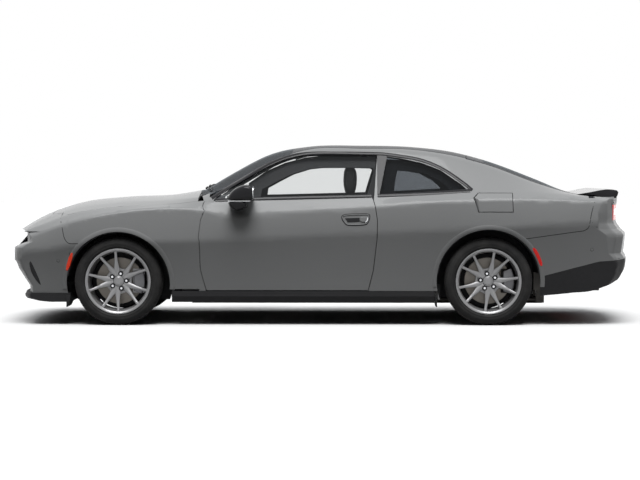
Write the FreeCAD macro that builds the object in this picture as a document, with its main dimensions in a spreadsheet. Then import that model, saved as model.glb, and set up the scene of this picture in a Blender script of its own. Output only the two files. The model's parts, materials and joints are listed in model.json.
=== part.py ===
import FreeCAD, Part
import math
import os
import Sketcher

# A two-door fastback coupe at full size, in millimetres.
# +X runs to the tail, +Y to the car's right, +Z up; the origin is on the ground under its middle.

Vec = FreeCAD.Vector
doc = FreeCAD.newDocument("coupe_car")

driving_sizes = [
    ("wheelbase", 3074),
    ("front_axle_x", -1679),
    ("front_overhang", 945),
    ("rear_overhang", 1229),
    ("half_width", 1014),
    ("roof_height", 1500),
    ("belt_height", 1030),
    ("sill_height", 212),
    ("seat_gap", 0.3),
    ("shut_gap", 6),
    # running gear
    ("half_track", 832.5),
    ("tyre_radius", 364),
    ("tyre_width", 275),
    ("rim_seat_radius", 254),
    ("rim_flange_radius", 273),
    ("rim_wall", 9),
    ("hub_face_offset", 22),
    ("hub_radius", 76),
    ("spindle_radius", 27),
    ("disc_radius", 176),
    ("disc_width", 32),
    ("arch_radius", 430),
    ("front_arch_height", 345),
    ("rear_arch_height", 366),
    ("arch_inner_y", 470),
    ("liner_wall", 8),
    # body shell
    ("panel_inset", 35),
    ("fender_inset", 45),
    ("glass_inset", 8),
    ("wall_inset", 125),
    ("pillar_inset", 45),
    ("cabin_floor_height", 205),
    ("floor_wall", 40),
    ("door_bottom_height", 290),
    ("door_axis_offset", 754),
    ("door_axis_inset", 120),
    ("door_rear_reach", 1321),
    ("hood_front_offset", -590),
    ("hood_axis_offset", 599),
    ("hood_axis_height", 1010),
    ("hatch_axis_offset", -105),
    ("hatch_axis_height", 1360),
    ("hatch_rear_reach", 1205),
    ("bumper_top_height", 622),
    ("lip_underside_height", 755),
    ("flap_front_offset", -77),
    ("flap_length", 273),
    ("flap_bottom_height", 937),
    ("flap_top_height", 1090),
    ("flap_thickness", 22),
    ("steering_wheel_radius", 182),
]

sheet = doc.addObject("Spreadsheet::Sheet", "sizes")
for row_number, (alias, number) in enumerate(driving_sizes, start=1):
    sheet.set(f"A{row_number}", alias)
    sheet.set(f"B{row_number}", str(number))
    sheet.setAlias(f"B{row_number}", alias)
doc.recompute()


def size(alias):
    return float(sheet.get(alias))


front_axle = size("front_axle_x")
rear_axle = front_axle + size("wheelbase")
nose_x = front_axle - size("front_overhang")
tail_x = rear_axle + size("rear_overhang")
half_width = size("half_width")
belt_height = size("belt_height")
roof_rise = size("roof_height") - belt_height
gap = size("shut_gap")
seam = size("seat_gap")

# Body sections from nose to tail. Each row stands at an axle plus an offset.
# Drops are below belt_height, insets are in from half_width,
# and shares are of the rise from belt_height to roof_height.
section_columns = ("axle", "offset", "sill_rise", "sill_in", "wide_drop", "wide_in",
                   "shoulder_drop", "shoulder_in", "belt_drop", "belt_in",
                   "rail_share", "rail_in", "top_share")
section_table = [
    ("front", -1021, -12, 214, 470, 144, 390, 164, 350, 214, -0.745, 374, -0.687),
    ("front", -721, -7, 154, 430, 89, 290, 114, 230, 184, -0.383, 374, -0.287),
    ("front", -421, -2, 119, 370, 29, 180, 54, 115, 164, -0.160, 354, -0.057),
    ("front", 0, 0, 99, 340, 10, 90, 49, 49, 164, -0.032, 334, 0.055),
    ("front", 429, 0, 94, 333, 14, 55, 54, 27, 154, 0.011, 294, 0.102),
    ("front", 679, 0, 96, 328, 24, 70, 56, 5, 134, 0.064, 214, 0.190),
    ("front", 919, 0, 99, 321, 31, 125, 52, 0, 119, 0.264, 269, 0.494),
    ("front", 1255, 0, 104, 308, 34, 100, 54, -1, 117, 0.683, 334, 0.851),
    ("front", 1579, 0, 104, 289, 36, 81, 56, -8, 117, 0.911, 384, 0.983),
    ("rear", -1045, 0, 104, 270, 34, 55, 54, -26, 121, 0.928, 402, 1.000),
    ("rear", -595, 0, 99, 250, 24, 15, 49, -52, 129, 0.904, 414, 0.972),
    ("rear", -245, 0, 94, 238, 10, -6, 39, -72, 134, 0.787, 414, 0.879),
    ("rear", 0, 0, 94, 227, 0, -15, 36, -78, 124, 0.649, 394, 0.745),
    ("rear", 455, 5, 99, 197, 6, -16, 49, -68, 144, 0.287, 324, 0.387),
    ("rear", 705, 18, 109, 184, 24, -12, 64, -50, 160, 0.132, 274, 0.166),
    ("rear", 1305, 88, 154, 170, 114, 15, 134, -15, 190, 0.060, 240, 0.096),
]
sections = [dict(zip(section_columns, row)) for row in section_table]


def section_x(row):
    return (front_axle if row["axle"] == "front" else rear_axle) + row["offset"]


def section_points(row):
    """Half section from the sill up, as (name, y, z)."""
    return [
        ("sill", half_width - row["sill_in"], size("sill_height") + row["sill_rise"]),
        ("wide", half_width - row["wide_in"], belt_height - row["wide_drop"]),
        ("shoulder", half_width - row["shoulder_in"], belt_height - row["shoulder_drop"]),
        ("belt", half_width - row["belt_in"], belt_height - row["belt_drop"]),
        ("rail", half_width - row["rail_in"], belt_height + row["rail_share"] * roof_rise),
        ("top", 0.0, belt_height + row["top_share"] * roof_rise),
    ]


def closed_section(x, points, side_inset, roof_side_inset, top_inset, floor_drop):
    """One closed wire: straight sides, and an arc from rail to rail over the middle."""
    named = {name: (y, z) for name, y, z in points}
    insets = {"sill": side_inset, "wide": side_inset, "shoulder": side_inset,
              "belt": side_inset, "rail": roof_side_inset}
    right = []
    for name in ("sill", "wide", "shoulder", "belt", "rail"):
        y, z = named[name]
        drop = top_inset if name == "rail" else 0.0
        if name == "sill":
            drop = floor_drop
        if name == "belt":
            drop = 0.4 * top_inset
        right.append(Vec(x, y - insets[name], z - drop))
    crown = Vec(x, 0, named["top"][1] - top_inset)
    left = [Vec(p.x, -p.y, p.z) for p in reversed(right)]
    edges = [Part.LineSegment(a, b).toShape() for a, b in zip(right, right[1:])]
    edges.append(Part.Arc(right[-1], crown, left[0]).toShape())
    edges += [Part.LineSegment(a, b).toShape() for a, b in zip(left, left[1:])]
    edges.append(Part.LineSegment(left[-1], right[0]).toShape())
    return Part.Wire(edges)


def hull(side_inset=0.0, roof_side_inset=0.0, top_inset=0.0, floor_drop=0.0):
    """The whole body's outer form, or the same form drawn in by the given insets."""
    wires = []
    for row in sections:
        wires.append(closed_section(section_x(row), section_points(row), side_inset,
                                    roof_side_inset, top_inset, floor_drop))
    return Part.makeLoft(wires, True, True)


def face_of(points):
    wire = Part.makePolygon(list(points) + [points[0]])
    return Part.Face(wire)


def side_prism(outline, y_from, y_to):
    """An (x, z) outline drawn out across the car."""
    face = face_of([Vec(x, y_from, z) for x, z in outline])
    return face.extrude(Vec(0, y_to - y_from, 0))


def plan_prism(outline, z_from, z_to):
    """An (x, y) outline drawn out upwards."""
    face = face_of([Vec(x, y, z_from) for x, y in outline])
    return face.extrude(Vec(0, 0, z_to - z_from))


def cross_bar(radius, x, z, y_from, y_to):
    return Part.makeCylinder(radius, y_to - y_from, Vec(x, y_from, z), Vec(0, 1, 0))


def block(x_from, x_to, y_from, y_to, z_from, z_to):
    return Part.makeBox(x_to - x_from, y_to - y_from, z_to - z_from,
                        Vec(x_from, y_from, z_from))


def skin_y(x, z):
    """How far out the side skin is at a place on it."""
    rows = [(section_x(row), row) for row in sections]
    before = max((r for r in rows if r[0] <= x), key=lambda r: r[0])
    after = min((r for r in rows if r[0] >= x), key=lambda r: r[0])
    span = after[0] - before[0]
    share = (x - before[0]) / span if span else 0.0
    line = []
    for a, b in zip(section_points(before[1]), section_points(after[1])):
        line.append((a[1] + share * (b[1] - a[1]), a[2] + share * (b[2] - a[2])))
    for (y0, z0), (y1, z1) in zip(line, line[1:]):
        if z0 <= z <= z1:
            return y0 + (y1 - y0) * (z - z0) / (z1 - z0)
    return line[0][0] if z < line[0][1] else line[-1][0]


def belt_z(x):
    rows = [(section_x(row), belt_height - row["belt_drop"]) for row in sections]
    for (x0, z0), (x1, z1) in zip(rows, rows[1:]):
        if x0 <= x <= x1:
            return z0 + (z1 - z0) * (x - x0) / (x1 - x0)
    return rows[-1][1]


def rail_y(x):
    rows = [(section_x(row), half_width - row["rail_in"]) for row in sections]
    for (x0, y0), (x1, y1) in zip(rows, rows[1:]):
        if x0 <= x <= x1:
            return y0 + (y1 - y0) * (x - x0) / (x1 - x0)
    return rows[-1][1]


far = 1300.0

# The nose and tail seen from the side: steps back from the tip, and heights.
nose_profile = [(260, 180), (144, 278), (50, 415), (16, 484), (0, 560),
                (0, size("bumper_top_height")), (59, 783), (59, 1700)]
tail_profile = [(73, 1700), (73, 1031), (103, 950), (103, 860), (38, 775), (4, 736),
                (30, 603), (0, 518), (21, 415), (98, 313), (209, 266), (320, 180)]
side_outline = [(nose_x + back, z) for back, z in nose_profile]
side_outline += [(tail_x - back, z) for back, z in tail_profile]

# The nose and tail seen from above: steps back from the tip, and half widths.
nose_plan = [(470, 1040), (224, 900), (95, 760), (24, 400)]
tail_plan = [(470, 1040), (204, 900), (95, 780), (24, 400)]


def plan_outline(inset):
    points = [(nose_x + back, y - inset) for back, y in nose_plan]
    points += [(nose_x + inset, 0)]
    points += [(nose_x + back, -(y - inset)) for back, y in reversed(nose_plan)]
    points += [(tail_x - back, -(y - inset)) for back, y in tail_plan]
    points += [(tail_x - inset, 0)]
    points += [(tail_x - back, y - inset) for back, y in reversed(tail_plan)]
    return points


limits = plan_prism(plan_outline(0), 0, 1700).common(side_prism(side_outline, -far, far))
outer = hull().common(limits)


def shell(side_inset, roof_side_inset, top_inset, front_inset=40.0):
    """The outer form with its inside taken away, open below."""
    inside = hull(side_inset, roof_side_inset, top_inset, 400.0)
    inside = inside.common(plan_prism(plan_outline(front_inset), -400, 1700))
    inside = inside.common(side_prism([(nose_x + front_inset + 59, -400), (nose_x + front_inset + 59, 1700),
                                       (tail_x - front_inset - 103, 1700),
                                       (tail_x - front_inset - 103, -400)], -far, far))
    return outer.cut(inside)


thin_shell = shell(size("fender_inset"), size("panel_inset"), size("panel_inset"))
wall_shell = shell(size("wall_inset"), size("pillar_inset"), size("pillar_inset"))

arches = []
for axle_x, height in ((front_axle, size("front_arch_height")), (rear_axle, size("rear_arch_height"))):
    for side in (-1, 1):
        y_inner = side * size("arch_inner_y")
        low, high = sorted((y_inner, side * far))
        arches.append(cross_bar(size("arch_radius"), axle_x, height, low, high))
arch_cut = arches[0].multiFuse(arches[1:])

# Shut lines.
door_axis_x = front_axle + size("door_axis_offset")
door_axis_y = half_width - size("door_axis_inset")
# heights, how far the door's edge stands ahead of its axis, and extra reach behind it
door_edges = [(size("door_bottom_height"), 16, 0), (453, 65, 41), (726, 82, 72), (875, 61, 74),
              (986, 49, 57), (1040, 30, 42), (1100, 24, 8), (1409, 24, 74)]


def swing_solid(side, which, extra, z_from, z_to):
    """A turned solid about a door's axis, which its front or rear edge follows."""
    rows = []
    for z, ahead, behind in door_edges:
        if which == "front":
            out = skin_y(door_axis_x, z) - door_axis_y
            radius = math.hypot(ahead, max(out, 0.0))
        else:
            reach = size("door_rear_reach") + behind
            out = skin_y(door_axis_x + reach, z) - door_axis_y
            radius = math.hypot(reach, out)
        rows.append((radius + extra, z))
    points = [Vec(0, 0, z_from), Vec(rows[0][0], 0, z_from)]
    points += [Vec(r, 0, z) for r, z in rows if z_from < z < z_to]
    points += [Vec(rows[-1][0], 0, z_to), Vec(0, 0, z_to)]
    solid = face_of(points).revolve(Vec(0, 0, 0), Vec(0, 0, 1), 360)
    solid.translate(Vec(door_axis_x, side * door_axis_y, 0))
    return solid


def below_door_top(side, lift):
    """What lies below the door's top edge, which follows the belt."""
    start = (door_axis_x - 200, belt_z(door_axis_x) - 2 + lift)
    end = (rear_axle, belt_z(rear_axle - 900) + 13 + lift)
    return side_prism([(start[0], 0), start, end, (end[0], 0)], min(0, side * far), max(0, side * far))


def door_zone(side, extra):
    """The room that a door takes: behind its axis, or round it, and inside its rear circle."""
    bottom = size("door_bottom_height") - extra
    top = 1200.0
    behind = block(door_axis_x, door_axis_x + 1700, min(side * 700, side * far),
                   max(side * 700, side * far), bottom, top)
    behind = behind.common(swing_solid(side, "rear", extra, bottom, top))
    front = swing_solid(side, "front", extra, bottom, top)
    zone = behind.fuse(front)
    under = below_door_top(side, 0)
    if extra:
        under = under.fuse(block(door_axis_x - 200, rear_axle, min(0, side * far),
                                 max(0, side * far), 1020, 1020 + extra))
    return zone.common(under)


glass_outline = [(-886, 1020), (-878, 1046), (-760, 1120), (-592, 1222), (-424, 1317), (-256, 1382),
                 (-90, 1407), (170, 1409), (470, 1404), (440, 1040)]
glass_outline = [(x - door_axis_x + (front_axle + size("door_axis_offset")), z) for x, z in glass_outline]
quarter_outline = [(rear_axle - 905, 1078), (rear_axle - 835, 1398), (rear_axle - 727, 1383),
                   (rear_axle - 559, 1351), (rear_axle - 391, 1284), (rear_axle - 223, 1170),
                   (rear_axle - 165, 1114)]

parts_to_keep = []
# Slivers that a cut leaves beside a panel are smaller than this, in cubic millimetres.
smallest_solid = 20000.0


def panel(label, shape):
    """Keeps a lofted panel, which neither sketches nor primitives can give, as its own object."""
    solids = [s for s in shape.Solids if s.Volume > smallest_solid]
    item = doc.addObject("Part::Feature", label)
    item.Label = label
    item.Shape = solids[0] if len(solids) == 1 else Part.makeCompound(solids)
    parts_to_keep.append(item)
    return item


def side_range(side, near, away):
    return min(side * near, side * away), max(side * near, side * away)


sides = ((-1, "left"), (1, "right"))


def beside(side, near, away, x_from, x_to, z_from, z_to):
    """A block on one side of the car, between two distances from its middle."""
    low, high = side_range(side, near, away)
    return block(x_from, x_to, low, high, z_from, z_to)


def glass_zone(side, outline, grow):
    """A window's outline through one side of the car, grown by a clearance all round."""
    low, high = side_range(side, 450, far)
    prism = side_prism(outline, low, high)
    if not grow:
        return prism
    grown = [prism]
    for dx, dz in ((grow, 0), (-grow, 0), (0, grow), (0, -grow)):
        copy = prism.copy()
        copy.translate(Vec(dx, 0, dz))
        grown.append(copy)
    return grown[0].multiFuse(grown[1:])


def top_strip(x_from, x_to, edge_in, z_from):
    """The plan of what lies between the two roof rails, from x_from to x_to."""
    stations = [x_from] + [section_x(r) for r in sections if x_from < section_x(r) < x_to] + [x_to]
    outline = [(x, rail_y(x) - edge_in) for x in stations]
    outline += [(x, -(rail_y(x) - edge_in)) for x in reversed(stations)]
    return plan_prism(outline, z_from, 1700)


inner_glass = hull(size("glass_inset"), size("glass_inset"), 1.6 * size("glass_inset"), 0)
glass_skin = outer.cut(inner_glass)

# Doors, their glass and the window openings.
for side, hand in sides:
    door_body = wall_shell.common(door_zone(side, 0.0))
    foot_height = size("door_bottom_height") - 15
    door_foot = Part.makeCylinder(10, 30, Vec(door_axis_x, side * door_axis_y, foot_height))
    panel(f"door_{hand}", door_body.fuse(door_foot))
    pane = glass_skin.common(glass_zone(side, glass_outline, 0))
    pane = pane.common(swing_solid(side, "rear", 0, 1000, 1450))
    pane = pane.cut(below_door_top(side, seam))
    panel(f"door_glass_{hand}", pane)

# Lids.
hood_front = front_axle + size("hood_front_offset")
hood_axis_x = front_axle + size("hood_axis_offset")
hood_axis_z = size("hood_axis_height")
hood_rear_radius = 105.0
hood_side_in = 12.0
hood_rear_in = 140.0
hood_rear_y = half_width - hood_rear_in - hood_side_in


def hood_zone(extra):
    stations = [hood_front + 128, front_axle - 421, front_axle, front_axle + 429, hood_axis_x + 60]
    insets = [184 + 60, 164, 164, 154, hood_rear_in]
    outline = [(hood_front - extra, 560 + extra)]
    outline += [(x, half_width - i - hood_side_in + extra) for x, i in zip(stations, insets)]
    outline += [(x, -y) for x, y in reversed(outline)]
    zone = plan_prism(outline, 700, 1300)
    ahead = block(hood_front - 300, hood_axis_x, -far, far, 600, 1400)
    return zone.common(ahead.fuse(cross_bar(hood_rear_radius + extra, hood_axis_x, hood_axis_z, -far, far)))


hood_swing = cross_bar(hood_rear_radius + gap, hood_axis_x, hood_axis_z,
                       -hood_rear_y - gap, hood_rear_y + gap)
hood_shape = thin_shell.common(hood_zone(0.0)).cut(block(-3000, 0, -far, far, 0, 760))
hood_leaf_y = 640
for side, hand in sides:
    leaf = beside(side, hood_leaf_y, hood_leaf_y + 20, hood_axis_x - 20, hood_axis_x + 20,
                  hood_axis_z - 18, hood_axis_z + 22)
    low, high = side_range(side, hood_leaf_y + 10, hood_leaf_y + 48)
    hood_shape = hood_shape.fuse(leaf).fuse(cross_bar(9, hood_axis_x, hood_axis_z, low, high))
panel("hood", hood_shape)

hatch_axis_x = rear_axle + size("hatch_axis_offset")
hatch_axis_z = size("hatch_axis_height")
hatch_front_radius = 62.0
hatch_edge_in = 20.0
hatch_rear_x = hatch_axis_x + size("hatch_rear_reach")


def hatch_zone(extra):
    zone = top_strip(hatch_axis_x - 200, hatch_rear_x + extra, hatch_edge_in - extra, 900)
    behind = block(hatch_axis_x, 2700, -far, far, 900, 1600)
    hinge_round = cross_bar(hatch_front_radius + extra, hatch_axis_x, hatch_axis_z, -far, far)
    return zone.common(behind.fuse(hinge_round))


def hatch_pins(radius, reach):
    edge = rail_y(hatch_axis_x) - hatch_edge_in
    pins = [cross_bar(radius, hatch_axis_x, hatch_axis_z, side * edge - reach, side * edge + reach)
            for side, hand in sides]
    return Part.makeCompound(pins)


hatch_glass_rear = rear_axle + 690
hatch_shape = thin_shell.common(hatch_zone(0.0)).cut(block(0, 2700, -far, far, 0, 1000))
hatch_window = top_strip(hatch_axis_x + 90, hatch_glass_rear, 85, 900)
panel("hatch_frame", hatch_shape.cut(hatch_window).fuse(hatch_pins(4, 14)))
panel("hatch_glass", glass_skin.common(hatch_window).cut(block(0, 3000, -far, far, 0, 1000)))

# Fixed body.
windshield_foot = 1075.0
windshield_front = front_axle + 647
windshield_rear = front_axle + 1440
screen = glass_skin.common(top_strip(windshield_front, windshield_rear, 30, 1000))
panel("windshield", screen.cut(block(-3000, 0, -far, far, 0, windshield_foot)).cut(hood_swing))

roof_zone = top_strip(windshield_rear + seam, hatch_axis_x, 30, 1200)
roof_shape = thin_shell.common(roof_zone).cut(hatch_zone(gap))
panel("roof_panel", roof_shape)

# The line where the front fender meets the nose, and where the quarter meets the tail.
nose_seam = [(nose_x + 458, 1040), (nose_x + 458, 889), (nose_x + 504, 726), (nose_x + 554, 678),
             (front_axle - 250, 678), (front_axle - 250, 0)]
nose_zone = side_prism([(nose_x - 50, 0), (nose_x - 50, 1040)] + nose_seam, -far, far)
tail_seam = [(tail_x - 342, 1200), (tail_x - 342, 1061), (tail_x - 404, 833), (tail_x - 458, 779),
             (tail_x - 640, 753), (rear_axle + 283, 717), (rear_axle + 283, 0)]
tail_zone = side_prism([(tail_x + 50, 0), (tail_x + 50, 1200)] + tail_seam, -far, far)


# Fuel flap, which swings about a leaning axis at its front edge.
flap_axis_x = rear_axle + size("flap_front_offset") + 6
flap_foot = size("flap_bottom_height")
flap_low = Vec(flap_axis_x, -(skin_y(flap_axis_x, flap_foot) - 12), flap_foot)
flap_high = Vec(flap_axis_x, -(skin_y(flap_axis_x, size("flap_top_height")) - 12), size("flap_top_height"))
flap_up = flap_high - flap_low
flap_height = flap_up.Length
crease_z = belt_height + 15
crease_bulge = skin_y(flap_axis_x, crease_z) + flap_low.y + (crease_z - flap_low.z) * flap_up.y / flap_up.z


def flap_zone(extra):
    crease_h = flap_height * (crease_z - flap_low.z) / flap_up.z
    rows = [(14, -extra), (14, 0), (abs(crease_bulge) + 2, crease_h),
            (14, flap_height), (14, flap_height + extra)]
    points = [Vec(0, 0, -extra)] + [Vec(r + extra, 0, h) for r, h in rows] + [Vec(0, 0, flap_height + extra)]
    front = face_of(points).revolve(Vec(0, 0, 0), Vec(0, 0, 1), 360)
    swing = face_of([Vec(-p.x, 0, p.z) for p in points]).extrude(Vec(0, -100, 0))
    reach = size("flap_length") + extra - 6
    rear = Part.makeCylinder(reach, flap_height + 2 * extra, Vec(0, 0, -extra), Vec(0, 0, 1))
    rear = rear.common(block(0, 400, -200, 200, -50, 400))
    zone = rear.fuse(front)
    zone.Placement = FreeCAD.Placement(flap_low, FreeCAD.Rotation(Vec(0, 0, 1), flap_up))
    return zone, front.fuse(swing).transformGeometry(zone.Placement.toMatrix())


def flap_pin(radius, spare):
    along = FreeCAD.Vector(flap_up).normalize()
    return Part.makeCylinder(radius, flap_height + 2 * spare, flap_low - along * spare, along)


flap_skin = outer.cut(hull(size("flap_thickness"), size("flap_thickness"), size("flap_thickness"), 0))
flap_pocket = outer.cut(hull(62, 62, 62, 0))
flap_shape = flap_skin.common(flap_zone(0)[0]).fuse(flap_pin(4, 14))
panel("fuel_flap", flap_shape)
flap_cut = flap_pocket.common(flap_zone(gap)[0]).fuse(flap_zone(gap)[1]).fuse(flap_pin(4 + seam, 15))
for side, hand in sides:
    low, high = side_range(side, 0, far)
    half = block(-1150, 2230, low, high, 150, 1600)
    frame = wall_shell.common(half)
    frame = frame.cut(door_zone(side, gap)).cut(glass_zone(side, glass_outline, gap))
    frame = frame.cut(glass_zone(side, quarter_outline, 0)).cut(arch_cut)
    frame = frame.cut(swing_solid(side, "rear", gap, 1060, 1450).common(
        beside(side, 450, far, door_axis_x, door_axis_x + 1700, 1060, 1411)))
    frame = frame.cut(top_strip(windshield_front - 200, windshield_rear, 30 - seam, 1000))
    frame = frame.cut(top_strip(windshield_rear - seam, hatch_axis_x, 30 - seam, 1000))
    frame = frame.cut(hatch_zone(gap)).cut(hood_zone(gap)).cut(hood_swing).cut(tail_zone)
    frame = frame.cut(thin_shell.common(beside(side, 0, far, -1500, front_axle + 672, 0, 1600)))
    beam = beside(side, 760, 858, door_axis_x - 130, rear_axle - 420,
                  185, size("door_bottom_height") - gap - 4)
    below = beside(side, 858 + seam, far, -3000, rear_axle - 420, 0, size("door_bottom_height") - gap)
    frame = frame.cut(below)
    frame = frame.fuse(beam.cut(arch_cut))
    frame = frame.cut(hatch_pins(4 + seam, 16))
    if side < 0:
        frame = frame.cut(flap_cut)
    panel(f"body_side_{hand}", frame)


for side, hand in sides:
    low, high = side_range(side, 0, far)
    fender = thin_shell.common(block(-2400, front_axle + 672, low, high, 300, 1200))
    fender = fender.cut(hood_zone(gap)).cut(hood_swing).cut(nose_zone).cut(arch_cut).cut(door_zone(side, gap))
    fender = fender.cut(top_strip(windshield_front - 200, windshield_rear, 30 - seam, 1000))
    fender = fender.cut(beside(side, 0, 700, -3000, 0, 0, 1300))
    panel(f"front_fender_{hand}", fender)

front_fascia = thin_shell.common(nose_zone).cut(hood_zone(gap)).cut(arch_cut)
mouth_low = size("bumper_top_height")
mouth_high = size("lip_underside_height")
mouth_deep = 110
mouth = block(nose_x - 50, nose_x + mouth_deep, -790, 790, mouth_low, mouth_high)
lower_mouth = block(nose_x - 50, nose_x + 160, -560, 560, 300, 440)
front_fascia = front_fascia.cut(mouth).cut(lower_mouth).cut(block(-3000, 0, -far, far, 0, 236 + seam))
marker_skin = outer.cut(hull(12, 12, 12, 0))
markers = []
for rim_x, z0, z1, lean in ((front_axle - 433, 453, 602, 32), (rear_axle + 358, 490, 647, 65)):
    slant = [(rim_x, z1), (rim_x + 22, z1), (rim_x + 22 + lean, z0), (rim_x + lean, z0)]
    if rim_x < 0:
        slant = [(rim_x, z0), (rim_x + 22, z0), (rim_x + 22 + lean, z1), (rim_x + lean, z1)]
    markers.append(side_prism(slant, -far, far).common(marker_skin))
markers = [solid for m in markers for solid in m.Solids]
marker_cut = Part.makeCompound(markers)
panel("front_fascia", front_fascia.cut(marker_cut))
panel("side_markers", marker_cut.cut(arch_cut))

splitter = plan_prism(plan_outline(0), 178, 236)
splitter.translate(Vec(95, 0, 0))
splitter = splitter.common(block(nose_x, front_axle - 300, -930, 930, 0, 400))
panel("front_splitter", splitter.cut(block(nose_x + 420, 0, -640, 640, 0, 400)).cut(arch_cut))

grille_wall = 14
grille_face = nose_x + 92
grille = block(grille_face, grille_face + grille_wall, -690, 690, mouth_low + seam, mouth_high - seam)
ahead, behind = outer.copy(), outer.copy()
ahead.translate(Vec(16, 0, 0))
behind.translate(Vec(16 + grille_wall, 0, 0))
lower_grille = ahead.cut(behind)
lower_grille = lower_grille.common(block(nose_x, nose_x + 200, -560 + seam, 560 - seam,
                                         300 + seam, 440 - seam))
panel("front_grille", Part.makeCompound([grille, lower_grille]))
lamp = outer.common(block(nose_x + 34, grille_face - seam, -770, 770, mouth_low + seam, mouth_low + 34))
panel("front_lamp", lamp)

rear_fascia = thin_shell.common(tail_zone).cut(hatch_zone(gap)).cut(arch_cut)
tail_low, tail_high = 868, 1000
tail_mouth = block(tail_x - 175, tail_x, -800, 800, tail_low, tail_high)
diffuser_zone = side_prism([(rear_axle + 430, 0), (rear_axle + 430, 403), (tail_x - 309, 531),
                            (tail_x + 50, 560), (tail_x + 50, 0)], -far, far)
rear_fascia = rear_fascia.cut(tail_mouth).cut(diffuser_zone).cut(marker_cut)
panel("rear_fascia", rear_fascia)
tail_lamp = outer.common(block(tail_x - 175 + seam, tail_x, -800 + seam, 800 - seam,
                               tail_low + seam, tail_high - seam))
tail_lamp = tail_lamp.cut(block(tail_x - 140, tail_x, -690, 690, tail_low + 36, tail_high - 36))
panel("tail_lamp", tail_lamp)
spoiler_outline = [(tail_x - 420, 1090), (tail_x - 300, 1112), (tail_x - 184, 1128), (tail_x - 95, 1118),
                   (tail_x - 88, 1098), (tail_x - 120, 1070), (tail_x - 160, 1040), (tail_x - 420, 1040)]
spoiler = side_prism(spoiler_outline, -700, 700).cut(outer)
raised = outer.copy()
raised.translate(Vec(0, 0, gap))
spoiler = spoiler.cut(raised.common(block(hatch_rear_x - 1, 3000, -far, far, 0, 1500)))
panel("spoiler", spoiler)
diffuser = thin_shell.common(diffuser_zone).cut(arch_cut).cut(block(0, 3000, -far, far, 0, 244))
panel("rear_diffuser", diffuser)

# Sketched and turned pieces.
def plane(body, role):
    return [f for f in body.Origin.OriginFeatures if f.Role == role][0]


def outline_sketch(body, role, corners, name):
    """A closed outline whose corners are bound to the sizes, each written as two expressions."""
    sketch = body.newObject("Sketcher::SketchObject", name)
    sketch.AttachmentSupport = [(plane(body, role), "")]
    sketch.MapMode = "FlatFace"
    spots = []
    for across, up in corners:
        spots.append(Vec(float(sheet.evalExpression(across)), float(sheet.evalExpression(up)), 0))
    for number, spot in enumerate(spots):
        sketch.addGeometry(Part.LineSegment(spot, spots[(number + 1) % len(spots)]), False)
    for number in range(len(spots)):
        follower = (number + 1) % len(spots)
        sketch.addConstraint(Sketcher.Constraint("Coincident", number, 2, follower, 1))
    for number, (across, up) in enumerate(corners):
        for kind, text, start in (("DistanceX", across, spots[number].x), ("DistanceY", up, spots[number].y)):
            made = sketch.addConstraint(Sketcher.Constraint(kind, -1, 1, number, 1, start))
            sketch.setExpression(f"Constraints[{made}]", with_sheet(text))
    return sketch


def with_sheet(text):
    """Points each size name in an expression at the sheet."""
    for alias, number in sorted(driving_sizes, key=lambda pair: -len(pair[0])):
        text = text.replace(alias, "<>" + str(len(alias)) + ":" + alias.upper() + "<>")
    for alias, number in driving_sizes:
        text = text.replace("<>" + str(len(alias)) + ":" + alias.upper() + "<>", "sizes." + alias)
    return text


def place(item, x="0", y="0", z="0"):
    for axis, text in zip("xyz", (x, y, z)):
        item.setExpression(f".Placement.Base.{axis}", with_sheet(text))


def padded(label, role, corners, length, x="0", y="0", z="0"):
    """A pad either side of its plane."""
    body = doc.addObject("PartDesign::Body", label)
    body.Label = label
    sketch = outline_sketch(body, role, corners, label + "_outline")
    pad = body.newObject("PartDesign::Pad", label + "_pad")
    pad.Profile = sketch
    pad.Midplane = True
    pad.setExpression("Length", with_sheet(length))
    place(body, x, y, z)
    return body


def turned(label, corners, x="0", y="0", z="0"):
    """A profile of (radius, along) turned round the Y axis."""
    body = doc.addObject("PartDesign::Body", label)
    body.Label = label
    sketch = outline_sketch(body, "XY_Plane", corners, label + "_profile")
    revolution = body.newObject("PartDesign::Revolution", label + "_turned")
    revolution.Profile = sketch
    revolution.ReferenceAxis = (sketch, ["V_Axis"])
    revolution.Angle = 360
    place(body, x, y, z)
    return body


wheel_places = (("front_left", "front_axle_x", -1), ("front_right", "front_axle_x", 1),
                ("rear_left", "front_axle_x + wheelbase", -1), ("rear_right", "front_axle_x + wheelbase", 1))

tyre_profile = [("rim_seat_radius + seat_gap", "-tyre_width / 2 + 20 + seat_gap"),
                ("rim_flange_radius + seat_gap", "-tyre_width / 2 + 20 + seat_gap"),
                ("rim_flange_radius + 8", "-tyre_width / 2 + 7"),
                ("rim_seat_radius + 52", "-tyre_width / 2"),
                ("tyre_radius - 26", "-tyre_width / 2 + 7"),
                ("tyre_radius - 3", "-tyre_width / 2 + 22"),
                ("tyre_radius", "-tyre_width / 2 + 50"),
                ("tyre_radius", "tyre_width / 2 - 50"),
                ("tyre_radius - 3", "tyre_width / 2 - 22"),
                ("tyre_radius - 26", "tyre_width / 2 - 7"),
                ("rim_seat_radius + 52", "tyre_width / 2"),
                ("rim_flange_radius + 8", "tyre_width / 2 - 7"),
                ("rim_flange_radius + seat_gap", "tyre_width / 2 - 20 - seat_gap"),
                ("rim_seat_radius + seat_gap", "tyre_width / 2 - 20 - seat_gap")]
barrel_profile = [("rim_seat_radius - rim_wall", "-tyre_width / 2 + 18"),
                  ("rim_flange_radius", "-tyre_width / 2 + 8"),
                  ("rim_flange_radius", "-tyre_width / 2 + 19"),
                  ("rim_seat_radius", "-tyre_width / 2 + 20"),
                  ("rim_seat_radius", "tyre_width / 2 - 20"),
                  ("rim_flange_radius", "tyre_width / 2 - 19"),
                  ("rim_flange_radius", "tyre_width / 2 - 8"),
                  ("rim_seat_radius - rim_wall", "tyre_width / 2 - 18")]
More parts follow.
